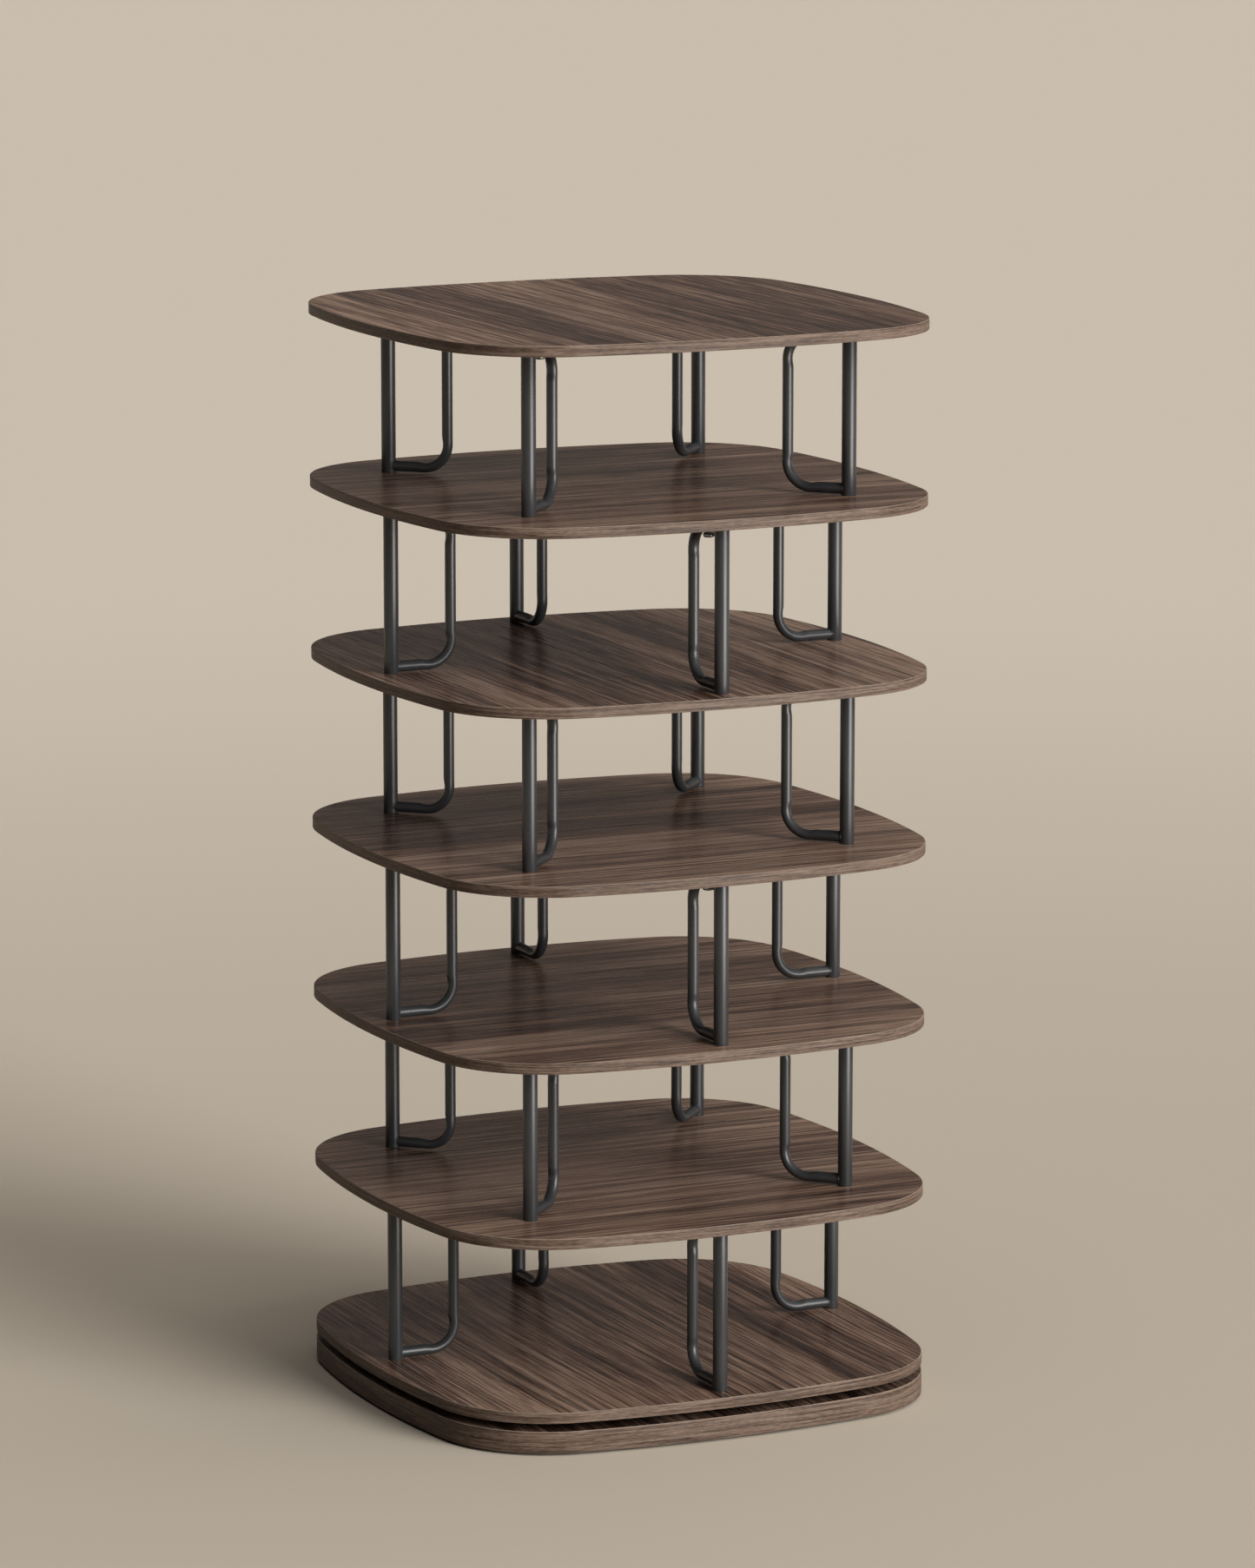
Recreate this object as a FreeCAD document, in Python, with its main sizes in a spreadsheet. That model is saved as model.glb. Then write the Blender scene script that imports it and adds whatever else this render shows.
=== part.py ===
import FreeCAD, Part
import math
import os
import Sketcher
from FreeCAD import Placement, Rotation, Vector

# Rotating shoe tower: six shelves and a turntable board, joined by welded side brackets,
# turning on a ring bearing over a fixed base. Millimetres, +Z up. The origin is on the floor
# under the middle of the tower, and -Y is the front.

doc = FreeCAD.newDocument("rotating_shoe_tower")

# ---------------------------------------------------------------- driving dimensions

DIMENSIONS = (
    ("total_height", 1200, "floor to the top of the top shelf"),
    ("outline_width", 600, "across the middles of two opposite sides"),
    ("outline_diagonal", 704, "across two opposite corners"),
    ("corner_radius", 135, "rounding of the four corners"),
    ("board_thickness", 12, "shelves and turntable board"),
    ("clear_gap", 180, "free height between two boards"),
    ("base_thickness", 24, "fixed base board"),
    ("band_thickness", 1, "edge band round every board"),
    ("band_arris", 0.5, "rounding of the band's outer edges"),
    ("pad_thickness", 3, "foot pads under the base"),
    ("pad_diameter", 40, "foot pads"),
    ("pad_circle", 560, "circle through the centres of the foot pads"),
    ("pad_rounding", 1, "rounding of a foot pad's lower edge"),
    ("post_diameter", 16, "upright of a bracket"),
    ("post_bore", 13, "inside of the upright"),
    ("post_circle", 537, "circle through the axes of the four uprights of a tier"),
    ("rod_diameter", 12, "straight run of a bracket's bent rod"),
    ("rod_offset", 70, "from the upright's axis to the rod's axis"),
    ("bend_outer_radius", 33, "outside of the rod's two bends"),
    ("bend_thickness", 10.2, "rod pressed flatter inside its two bends"),
    ("arm_clearance", 1.2, "between an arm and the board beside it"),
    ("neck_length", 4, "where the rod goes from round to flat and back"),
    ("bolt_offset", 33, "from the upright's axis to the arm bolt"),
    ("bolt_hole_diameter", 6.4, "arm bolt's hole in the upper arm"),
    ("bolt_seat_diameter", 12.8, "flat on the arm for the bolt head"),
    ("bolt_seat_depth", 1.2, "depth of that flat"),
    ("bolt_head_diameter", 12.4, "arm bolt head"),
    ("bolt_head_height", 4, "arm bolt head"),
    ("bolt_head_rounding", 1.8, "lower edge of the arm bolt head"),
    ("bolt_shank_diameter", 5.8, "arm bolt and post screw"),
    ("bolt_grip", 8, "length of the arm bolt inside its insert"),
    ("socket_width", 4, "hexagon socket, across the flats"),
    ("socket_depth", 2.2, "hexagon socket"),
    ("insert_diameter", 8.9, "threaded insert for the arm bolt"),
    ("insert_length", 9, "threaded insert"),
    ("insert_hole_diameter", 9, "hole for the insert"),
    ("insert_hole_depth", 9.5, "hole for the insert"),
    ("thread_bore", 6, "threaded bore of inserts and plugs"),
    ("plug_diameter", 12.9, "threaded plug in the foot of an upright"),
    ("plug_length", 16, "threaded plug"),
    ("screw_hole_diameter", 6.4, "post screw's hole in a board"),
    ("screw_sink_diameter", 12.4, "countersink for the post screw"),
    ("screw_head_diameter", 12, "post screw head"),
    ("screw_length", 25, "post screw"),
    ("bearing_clearance", 0.6, "between a ring and the board it does not touch"),
    ("outer_ring_outside", 300, "fixed ring"),
    ("outer_ring_inside", 267, "fixed ring"),
    ("inner_ring_outside", 261, "turning ring"),
    ("inner_ring_inside", 220, "turning ring"),
    ("ball_diameter", 5, "bearing balls"),
    ("ball_circle", 264, "circle through the ball centres"),
    ("groove_diameter", 5.1, "ball grooves in the two rings"),
    ("cage_thickness", 1.6, "ball cage wall"),
    ("cage_height", 7, "ball cage wall"),
    ("cage_pocket", 5.2, "holes for the balls in the cage"),
    ("outer_screw_circle", 284, "screws of the fixed ring"),
    ("inner_screw_circle", 240, "screws of the turning ring"),
    ("ring_hole_diameter", 4.4, "screw holes in the rings"),
    ("ring_sink_diameter", 8.4, "countersinks in the rings"),
    ("ring_screw_head", 8, "head of a ring screw"),
    ("ring_screw_shank", 4, "shank of a ring screw"),
    ("ring_screw_length", 18, "ring screw"),
    ("pilot_diameter", 4.1, "pilot holes for the ring screws"),
    ("pilot_depth", 10, "pilot holes for the ring screws"),
    ("access_diameter", 16, "hole in the base through which the turning ring is screwed"),
)

SHELVES = 6          # shelves, and so tiers of brackets
BALLS = 36           # balls in the bearing
QUARTERS = 4         # brackets, pads and screws to a circle
UP = Vector(0, 0, 1)

sheet = doc.addObject("Spreadsheet::Sheet", "Dimensions")
for row, (alias, value, note) in enumerate(DIMENSIONS, start=1):
    sheet.set("A%d" % row, note)
    sheet.set("B%d" % row, str(value))
    sheet.setAlias("B%d" % row, alias)
doc.recompute()

# Sizes worked out from the driving dimensions.
# corner_centre: how far the centre of a corner arc is from either axis.
# side_radius and side_centre: the shallow arc of a side, tangent to both corner arcs.
# bend_start and arm_depth: how far from the bracket's middle its rod starts to bend, and
# how far the axes of its two arms are.
# turntable_underside less base_top is the gap that the bearing fills.
DERIVED = (
    ("corner_centre", "(Dimensions.outline_diagonal / 2 - Dimensions.corner_radius) / sqrt(2)"),
    ("corner_inset", "Dimensions.outline_width / 2 - corner_centre"),
    ("side_radius", "(corner_centre ^ 2 + corner_inset ^ 2 - Dimensions.corner_radius ^ 2)"
                    " / (2 * (corner_inset - Dimensions.corner_radius))"),
    ("side_centre", "side_radius - Dimensions.outline_width / 2"),
    ("pitch", "Dimensions.board_thickness + Dimensions.clear_gap"),
    ("half_gap", "Dimensions.clear_gap / 2"),
    ("bend_start", "half_gap - Dimensions.arm_clearance - Dimensions.bend_outer_radius"),
    ("bend_radius", "Dimensions.bend_outer_radius - Dimensions.bend_thickness / 2"),
    ("rod_far_side", "Dimensions.rod_offset + Dimensions.rod_diameter / 2"),
    ("bend_centre", "rod_far_side - Dimensions.bend_outer_radius"),
    ("arm_depth", "half_gap - Dimensions.arm_clearance - Dimensions.rod_diameter / 2"),
    ("seat_height", "arm_depth - Dimensions.rod_diameter / 2 + Dimensions.bolt_seat_depth"),
    ("turntable_underside", "Dimensions.total_height - Dimensions.board_thickness"
                            " - %d * pitch" % SHELVES),
    ("base_top", "Dimensions.pad_thickness + Dimensions.base_thickness"),
    ("ball_height", "(base_top + turntable_underside) / 2"),
    ("ring_height", "turntable_underside - base_top - Dimensions.bearing_clearance"),
)

sizes = doc.addObject("App::VarSet", "Sizes")
for name, expression in DERIVED:
    sizes.addProperty("App::PropertyFloat", name)
    sizes.setExpression(name, expression)
    doc.recompute()

# ---------------------------------------------------------------- helpers

subparts = []


def body_named(label):
    """A new body that is a sub-part by itself."""
    body = doc.addObject("PartDesign::Body", label)
    body.Label = label
    return body


def origin_feature(body, role):
    return next(item for item in body.Origin.OriginFeatures if item.Role == role)


def attach(item, body, role="XY_Plane", height=None, turn=0):
    """Attach a sketch or primitive to an origin plane, raised by an expression and turned."""
    item.AttachmentSupport = [(origin_feature(body, role), "")]
    item.MapMode = "FlatFace"
    item.AttachmentOffset = Placement(Vector(), Rotation(UP, turn))
    if height:
        item.setExpression("AttachmentOffset.Base.z", height)


def sketch_on(body, name, role="XY_Plane", height=None, turn=0):
    sketch = body.newObject("Sketcher::SketchObject", name)
    attach(sketch, body, role, height, turn)
    return sketch


def number(item, expression):
    return float(item.evalExpression(expression))


def constrain(sketch, kind, references, name, expression):
    """Add a dimension under a name, bound to an expression."""
    index = sketch.addConstraint(Sketcher.Constraint(kind, *references, number(sketch, expression)))
    sketch.renameConstraint(index, name)
    sketch.setExpression("Constraints." + name, expression)


def circle(sketch, name, diameter, along=None, across=None):
    """A circle at the sketch's origin, or at bound distances along and across it."""
    centre = Vector(number(sketch, along or "0"), number(sketch, across or "0"), 0)
    radius = number(sketch, diameter) / 2
    index = sketch.addGeometry(Part.Circle(centre, UP, radius), False)
    constrain(sketch, "Diameter", (index,), name + "_diameter", diameter)
    if along:
        constrain(sketch, "DistanceX", (-1, 1, index, 3), name + "_along", along)
    else:
        sketch.addConstraint(Sketcher.Constraint("PointOnObject", index, 3, -2))
    if across:
        constrain(sketch, "DistanceY", (-1, 1, index, 3), name + "_across", across)
    else:
        sketch.addConstraint(Sketcher.Constraint("PointOnObject", index, 3, -1))
    return index


def outline(sketch, inset=None):
    """The boards' outline: four shallow side arcs and four corner arcs, all tangent."""
    less = " - " + inset if inset else ""
    centre = sizes.corner_centre
    offset = sizes.side_centre
    side_radius = number(sketch, "Sizes.side_radius" + less)
    corner_radius = number(sketch, "Dimensions.corner_radius" + less)
    swing = math.atan2(centre, centre + offset)
    quarter_turn = math.pi / 2
    for quarter in range(QUARTERS):
        start = quarter * quarter_turn
        turn = Rotation(UP, 90 * quarter)
        side = Part.Circle(turn.multVec(Vector(-offset, 0, 0)), UP, side_radius)
        corner = Part.Circle(turn.multVec(Vector(centre, centre, 0)), UP, corner_radius)
        sketch.addGeometry(Part.ArcOfCircle(side, start - swing, start + swing), False)
        sketch.addGeometry(
            Part.ArcOfCircle(corner, start + swing, start + quarter_turn - swing), False)
    arcs = 2 * QUARTERS
    for arc in range(arcs):
        sketch.addConstraint(Sketcher.Constraint("Tangent", arc, 2, (arc + 1) % arcs, 1))
    signs = ((1, 1), (-1, 1), (-1, -1), (1, -1))
    for quarter, (along, across) in enumerate(signs):
        side_arc = 2 * quarter
        corner_arc = side_arc + 1
        label = "%d" % (quarter + 1)
        constrain(sketch, "Radius", (side_arc,), "side_radius_" + label,
                  "Sizes.side_radius" + less)
        constrain(sketch, "Radius", (corner_arc,), "corner_radius_" + label,
                  "Dimensions.corner_radius" + less)
        constrain(sketch, "DistanceX", (-1, 1, corner_arc, 3), "corner_along_" + label,
                  "%d * Sizes.corner_centre" % along)
        constrain(sketch, "DistanceY", (-1, 1, corner_arc, 3), "corner_across_" + label,
                  "%d * Sizes.corner_centre" % across)


def feature(body, kind, name, profile):
    item = body.newObject("PartDesign::" + kind, name)
    item.Profile = profile
    return item


def pad(body, name, profile, length, side="One side"):
    item = feature(body, "Pad", name, profile)
    item.SideType = side
    item.setExpression("Length", length)
    return item


def pocket(body, name, profile, depth=None, upwards=True, side="One side"):
    """Cut a profile to a depth, or right through where no depth is given."""
    item = feature(body, "Pocket", name, profile)
    item.SideType = side
    item.Reversed = upwards
    if depth:
        item.setExpression("Length", depth)
    else:
        item.Type = "ThroughAll"
    return item


def quartered(body, name, originals, count=QUARTERS):
    """Repeat features round the Z axis."""
    pattern = body.newObject("PartDesign::PolarPattern", name)
    pattern.Originals = originals
    pattern.Axis = (origin_feature(body, "Z_Axis"), [""])
    pattern.Angle = 360
    pattern.Occurrences = count
    body.Tip = pattern
    doc.recompute()


def round_holes(body, name, diameter, depth, radius, turn=0, height=None, upwards=True):
    """Four equal holes on a circle, blind or right through."""
    sketch = sketch_on(body, name + "_circle", height=height, turn=turn)
    circle(sketch, "hole", diameter, along=radius)
    hole = pocket(body, name + "_first", sketch, depth, upwards)
    doc.recompute()
    quartered(body, name, [hole])


def sunk_holes(body, name, diameter, sink, radius, turn=0, height=None, upwards=True):
    """Four countersunk holes on a circle, right through."""
    sketch = sketch_on(body, name + "_circle", height=height, turn=turn)
    circle(sketch, "hole", diameter, along=radius)
    doc.recompute()
    hole = feature(body, "Hole", name + "_first", sketch)
    doc.recompute()
    hole.Reversed = upwards
    hole.DepthType = "ThroughAll"
    hole.HoleCutType = "Countersink"
    hole.HoleCutCustomValues = True
    hole.HoleCutCountersinkAngle = 90
    hole.setExpression("Diameter", diameter)
    hole.setExpression("HoleCutDiameter", sink)
    doc.recompute()
    quartered(body, name, [hole])


def primitive(body, kind, name, height=None, along=None, turn=0, **properties):
    """A PartDesign primitive on the XY plane, with bound sizes and place."""
    item = body.newObject("PartDesign::" + kind, name)
    attach(item, body, height=height, turn=turn)
    if along:
        item.setExpression("AttachmentOffset.Base.x", along)
    for prop, expression in properties.items():
        item.setExpression(prop, expression)
    return item


def place(item, height, along=None, across=None, turn=0, axis=UP):
    """Put a sub-part at bound distances from the origin."""
    item.Placement = Placement(Vector(), Rotation(axis, turn))
    item.setExpression("Placement.Base.z", height)
    if along:
        item.setExpression("Placement.Base.x", along)
    if across:
        item.setExpression("Placement.Base.y", across)


def keep(item):
    subparts.append(item)


def group(label, members):
    """Equal pieces of hardware as one sub-part of separate solids."""
    compound = doc.addObject("Part::Compound", label)
    compound.Label = label
    compound.Links = members
    keep(compound)


def underside(board):
    """Height of a board's underside: 1 is the top shelf, the last is the turntable board."""
    return "Dimensions.total_height - Dimensions.board_thickness - %d * Sizes.pitch" % (board - 1)


def tier_turn(tier):
    """Odd tiers have their brackets at the corners, even tiers at the middles of the sides."""
    return 45 if tier % 2 else 0


# ---------------------------------------------------------------- boards and their edge bands


def board(label, thickness):
    body = body_named(label)
    sketch = sketch_on(body, label + "_outline")
    outline(sketch, "Dimensions.band_thickness")
    pad(body, label + "_pad", sketch, thickness)
    doc.recompute()
    keep(body)
    return body


def edge_band(label, thickness, height):
    """A thin band round a board, its outer edges just rounded."""
    body = body_named(label)
    outer = sketch_on(body, label + "_outer")
    outline(outer)
    pad(body, label + "_pad", outer, thickness)
    inner = sketch_on(body, label + "_inner")
    outline(inner, "Dimensions.band_thickness")
    ring = pocket(body, label + "_ring", inner)
    doc.recompute()
    outer_faces = [face for face in ring.Shape.Faces if outside_wall(face)]
    edges = [edge for face in outer_faces for edge in face.Edges if is_level(edge)]
    names = ["Edge%d" % (number_of + 1) for number_of, edge in enumerate(ring.Shape.Edges)
             if any(edge.isSame(wanted) for wanted in edges)]
    rounding = body.newObject("PartDesign::Fillet", label + "_arris")
    rounding.Base = (ring, names)
    rounding.setExpression("Radius", "Dimensions.band_arris")
    doc.recompute()
    place(body, height)
    keep(body)


def outside_wall(face):
    """True for an upright face whose outward normal points away from the tower's axis."""
    u0, u1, v0, v1 = face.ParameterRange
    normal = face.normalAt((u0 + u1) / 2, (v0 + v1) / 2)
    point = face.valueAt((u0 + u1) / 2, (v0 + v1) / 2)
    outward = Vector(point.x, point.y, 0)
    return abs(normal.z) < 0.5 and normal.dot(outward) > 0


def is_level(edge):
    return edge.BoundBox.ZLength < sheet.band_arris


def shelf_holes(body, number_of):
    """Insert holes for the tier below, screw holes for the tier above."""
    if number_of <= SHELVES:
        round_holes(body, body.Label + "_insert_holes", "Dimensions.insert_hole_diameter",
                    "Dimensions.insert_hole_depth",
                    "Dimensions.post_circle / 2 - Dimensions.bolt_offset", tier_turn(number_of))
    if number_of > 1:
        sunk_holes(body, body.Label + "_screw_holes", "Dimensions.screw_hole_diameter",
                   "Dimensions.screw_sink_diameter", "Dimensions.post_circle / 2",
                   tier_turn(number_of - 1))


def make_boards():
    for number_of in range(1, SHELVES + 1):
        label = "shelf_%d" % number_of
        shelf = board(label, "Dimensions.board_thickness")
        shelf_holes(shelf, number_of)
        place(shelf, underside(number_of))
        edge_band(label + "_edge_band", "Dimensions.board_thickness", underside(number_of))
    turntable = board("turntable_board", "Dimensions.board_thickness")
    shelf_holes(turntable, SHELVES + 1)
    round_holes(turntable, "turntable_pilot_holes", "Dimensions.pilot_diameter",
                "Dimensions.pilot_depth", "Dimensions.inner_screw_circle / 2")
    place(turntable, underside(SHELVES + 1))
    edge_band("turntable_edge_band", "Dimensions.board_thickness", underside(SHELVES + 1))


# ---------------------------------------------------------------- side brackets

CORNERS = (("front_right", -45), ("back_right", 45), ("back_left", 135), ("front_left", 225))
SIDES = (("front", -90), ("right", 0), ("back", 90), ("left", 180))


def bracket(label, angle, tier):
    """A straight tube with a bent rod welded to it, its middle at the height of the origin."""
    body = body_named(label)
    sketch = sketch_on(body, label + "_post_circle")
    circle(sketch, "post", "Dimensions.post_diameter")
    pad(body, label + "_post", sketch, "Dimensions.clear_gap", "Symmetric")
    sketch = sketch_on(body, label + "_rod_circle")
    circle(sketch, "rod", "Dimensions.rod_diameter", along="Dimensions.rod_offset")
    pad(body, label + "_rod", sketch, "2 * (Sizes.bend_start - Dimensions.neck_length)", "Symmetric")
    lower = lower_arm(body, label)
    upper = body.newObject("PartDesign::Mirrored", label + "_upper_arm")
    upper.Originals = lower
    upper.MirrorPlane = (origin_feature(body, "XY_Plane"), [""])
    body.Tip = upper
    doc.recompute()

    sketch = sketch_on(body, label + "_bore_circle")
    circle(sketch, "bore", "Dimensions.post_bore")
    pocket(body, label + "_bore", sketch, side="Symmetric")
    sketch = sketch_on(body, label + "_bolt_circle")
    circle(sketch, "bolt", "Dimensions.bolt_hole_diameter", along="Dimensions.bolt_offset")
    pocket(body, label + "_bolt_hole", sketch)
    sketch = sketch_on(body, label + "_seat_circle")
    circle(sketch, "seat", "Dimensions.bolt_seat_diameter", along="Dimensions.bolt_offset")
    pocket(body, label + "_bolt_seat", sketch, "Sizes.seat_height")

    place(body, "%s - Sizes.half_gap" % underside(tier),
          "Dimensions.post_circle / 2 * cos(%d deg)" % angle,
          "Dimensions.post_circle / 2 * sin(%d deg)" % angle, angle + 180)
    keep(body)


def lower_arm(body, label):
    """The rod from its straight run to the upright: pressed flatter in the bend, round after it."""
    down = -90          # turns a sketch on the YZ plane until its X axis points down
    high_round = sketch_on(body, label + "_high_round",
                           height="Dimensions.neck_length - Sizes.bend_start")
    circle(high_round, "rod", "Dimensions.rod_diameter", along="Dimensions.rod_offset")
    high_flat = sketch_on(body, label + "_high_flat", height="-Sizes.bend_start")
    ellipse(high_flat, "Sizes.rod_far_side - Dimensions.bend_thickness / 2",
            "Dimensions.bend_thickness / 2", "Dimensions.rod_diameter / 2")
    low_flat = sketch_on(body, label + "_low_flat", "YZ_Plane", "Sizes.bend_centre", down)
    ellipse(low_flat, "Sizes.bend_start + Sizes.bend_radius",
            "Dimensions.bend_thickness / 2", "Dimensions.rod_diameter / 2")
    low_round = sketch_on(body, label + "_low_round", "YZ_Plane",
                          "Sizes.bend_centre - Dimensions.neck_length", down)
    circle(low_round, "rod", "Dimensions.rod_diameter", along="Sizes.arm_depth")
    path = sketch_on(body, label + "_bend_path", "XZ_Plane")
    bend_path(path)
    doc.recompute()

    high_neck = neck(body, label + "_high_neck", high_round, high_flat)
    bend = feature(body, "AdditivePipe", label + "_bend", high_flat)
    bend.Spine = (path, ["Edge1"])
    doc.recompute()
    low_neck = neck(body, label + "_low_neck", low_flat, low_round)
    arm = pad(body, label + "_arm", low_round, "Sizes.bend_centre - Dimensions.neck_length")
    arm.Reversed = True
    doc.recompute()
    return [high_neck, bend, low_neck, arm]


def neck(body, name, start, end):
    item = feature(body, "AdditiveLoft", name, start)
    item.Sections = [end]
    doc.recompute()
    return item


def ellipse(sketch, along, half_along, half_across):
    """An ellipse on the sketch's X axis, its long axis across it."""
    centre = Vector(number(sketch, along), 0, 0)
    major = centre + Vector(0, number(sketch, half_across), 0)
    minor = centre - Vector(number(sketch, half_along), 0, 0)
    sketch.addGeometry(Part.Ellipse(major, minor, centre), False)
    sketch.exposeInternalGeometry(0)
    major_line = 1
    minor_line = 2
    sketch.addConstraint(Sketcher.Constraint("PointOnObject", 0, 3, -1))
    sketch.addConstraint(Sketcher.Constraint("Vertical", major_line))
    constrain(sketch, "DistanceX", (-1, 1, 0, 3), "centre_along", along)
    constrain(sketch, "Distance", (major_line,), "full_across", "2 * " + half_across)
    constrain(sketch, "Distance", (minor_line,), "full_along", "2 * " + half_along)


def bend_path(sketch):
    """Centre line of the lower bend: a quarter turn."""
    centre = Vector(sizes.bend_centre, -sizes.bend_start, 0)
    quarter = Part.ArcOfCircle(Part.Circle(centre, UP, sizes.bend_radius), -math.pi / 2, 0)
    sketch.addGeometry(quarter, False)
    constrain(sketch, "Radius", (0,), "bend_radius", "Sizes.bend_radius")
    constrain(sketch, "DistanceX", (-1, 1, 0, 3), "centre_along", "Sizes.bend_centre")
    constrain(sketch, "DistanceY", (0, 3, -1, 1), "centre_below", "Sizes.bend_start")
    constrain(sketch, "DistanceX", (-1, 1, 0, 1), "start_along", "Sizes.bend_centre")
    constrain(sketch, "DistanceY", (0, 2, -1, 1), "end_below", "Sizes.bend_start")


def make_brackets():
    for tier in range(1, SHELVES + 1):
        for place_name, angle in CORNERS if tier % 2 else SIDES:
            bracket("bracket_%d_%s" % (tier, place_name), angle, tier)


# ---------------------------------------------------------------- fasteners of the tiers


def arm_bolt_set(tier):
    """Four bolts of a tier, their heads' lower faces at the height of the origin."""
    body = body_named("arm_bolts_tier_%d" % tier)
    radius = "Dimensions.post_circle / 2 - Dimensions.bolt_offset"
    rim = primitive(body, "AdditiveCone", body.Label + "_rim", along=radius,
                    Radius1="Dimensions.bolt_head_diameter / 2 - Dimensions.bolt_head_rounding",
                    Radius2="Dimensions.bolt_head_diameter / 2",
                    Height="Dimensions.bolt_head_rounding")
    doc.recompute()
    head = primitive(body, "AdditiveCylinder", body.Label + "_head", along=radius,
                     height="Dimensions.bolt_head_rounding",
                     Radius="Dimensions.bolt_head_diameter / 2",
                     Height="Dimensions.bolt_head_height - Dimensions.bolt_head_rounding")
    doc.recompute()
    shank = primitive(body, "AdditiveCylinder", body.Label + "_shank", along=radius,
                      Radius="Dimensions.bolt_shank_diameter / 2",
                      Height="Dimensions.bolt_head_height + Sizes.half_gap - Sizes.seat_height"
                             " + Dimensions.bolt_grip")
    doc.recompute()
    socket = primitive(body, "SubtractivePrism", body.Label + "_socket", along=radius,
                       Circumradius="Dimensions.socket_width / sqrt(3)",
                       Height="Dimensions.socket_depth")
    doc.recompute()
    quartered(body, body.Label + "_round", [rim, head, shank, socket])
    place(body, "%s - Sizes.half_gap + Sizes.seat_height - Dimensions.bolt_head_height"
          % underside(tier), turn=tier_turn(tier))
    return body


def sunk_screw_set(label, radius, head, sink, shank, length):
    """Four countersunk screws on a circle: heads just below the origin's plane, points up."""
    body = body_named(label)
    recess = "(%s - %s) / 2" % (sink, head)
    cone = primitive(body, "AdditiveCone", label + "_head", height=recess, along=radius,
                     Radius1="%s / 2" % head, Radius2="%s / 2" % shank,
                     Height="(%s - %s) / 2" % (head, shank))
    doc.recompute()
    rod = primitive(body, "AdditiveCylinder", label + "_shank", height=recess, along=radius,
                    Radius="%s / 2" % shank, Height="%s - %s" % (length, recess))
    doc.recompute()
    socket = primitive(body, "SubtractivePrism", label + "_socket", height=recess, along=radius,
                       Circumradius="%s / 4" % head, Height="(%s - %s) / 4" % (head, shank))
    doc.recompute()
    quartered(body, label + "_round", [cone, rod, socket])
    return body


def tube_set(label, radius, diameter, bore, length):
    """Four short tubes on a circle, standing on the origin's plane."""
    body = body_named(label)
    sketch = sketch_on(body, label + "_wall")
    circle(sketch, "outside", diameter, along=radius)
    circle(sketch, "inside", bore, along=radius)
    tube = pad(body, label + "_tube", sketch, length)
    doc.recompute()
    quartered(body, label + "_round", [tube])
    return body


def make_tier_hardware():
    post_radius = "Dimensions.post_circle / 2"
    bolt_radius = "Dimensions.post_circle / 2 - Dimensions.bolt_offset"
    bolts, inserts, screws, plugs = [], [], [], []
    for tier in range(1, SHELVES + 1):
        turn = tier_turn(tier)
        bolts.append(arm_bolt_set(tier))
        insert = tube_set("arm_bolt_inserts_tier_%d" % tier, bolt_radius,
                          "Dimensions.insert_diameter", "Dimensions.thread_bore",
                          "Dimensions.insert_length")
        place(insert, underside(tier), turn=turn)
        inserts.append(insert)
        screw = sunk_screw_set("post_screws_tier_%d" % tier, post_radius,
                               "Dimensions.screw_head_diameter", "Dimensions.screw_sink_diameter",
                               "Dimensions.bolt_shank_diameter", "Dimensions.screw_length")
        place(screw, underside(tier + 1), turn=turn)
        screws.append(screw)
        plug = tube_set("post_plugs_tier_%d" % tier, post_radius, "Dimensions.plug_diameter",
                        "Dimensions.thread_bore", "Dimensions.plug_length")
        place(plug, "%s + Dimensions.board_thickness" % underside(tier + 1), turn=turn)
        plugs.append(plug)
    group("arm_bolts", bolts)
    group("arm_bolt_inserts", inserts)
    group("post_screws", screws)
    group("post_plugs", plugs)


# ---------------------------------------------------------------- base


def make_base():
    base = board("base_board", "Dimensions.base_thickness")
    round_holes(base, "base_pilot_holes", "Dimensions.pilot_diameter", "Dimensions.pilot_depth",
                "Dimensions.outer_screw_circle / 2", height="Dimensions.base_thickness",
                upwards=False)
    sketch = sketch_on(base, "access_circle")
    circle(sketch, "access", "Dimensions.access_diameter", along="Dimensions.inner_screw_circle / 2")
    pocket(base, "access_hole", sketch)
    doc.recompute()
    place(base, "Dimensions.pad_thickness")
    edge_band("base_edge_band", "Dimensions.base_thickness", "Dimensions.pad_thickness")

    pads = body_named("foot_pads")
    sketch = sketch_on(pads, "pad_circle", turn=45)
    circle(sketch, "pad", "Dimensions.pad_diameter", along="Dimensions.pad_circle / 2")
    first = pad(pads, "pad_first", sketch, "Dimensions.pad_thickness")
    doc.recompute()
    low_edges = ["Edge%d" % (index + 1) for index, edge in enumerate(first.Shape.Edges)
                 if edge.BoundBox.ZMax < sheet.pad_rounding]
    rounding = pads.newObject("PartDesign::Chamfer", "pad_rounding")
    rounding.Base = (first, low_edges)
    rounding.setExpression("Size", "Dimensions.pad_rounding")
    doc.recompute()
    quartered(pads, "pads_round", [first, rounding])
    keep(pads)


# ---------------------------------------------------------------- ring bearing


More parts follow.
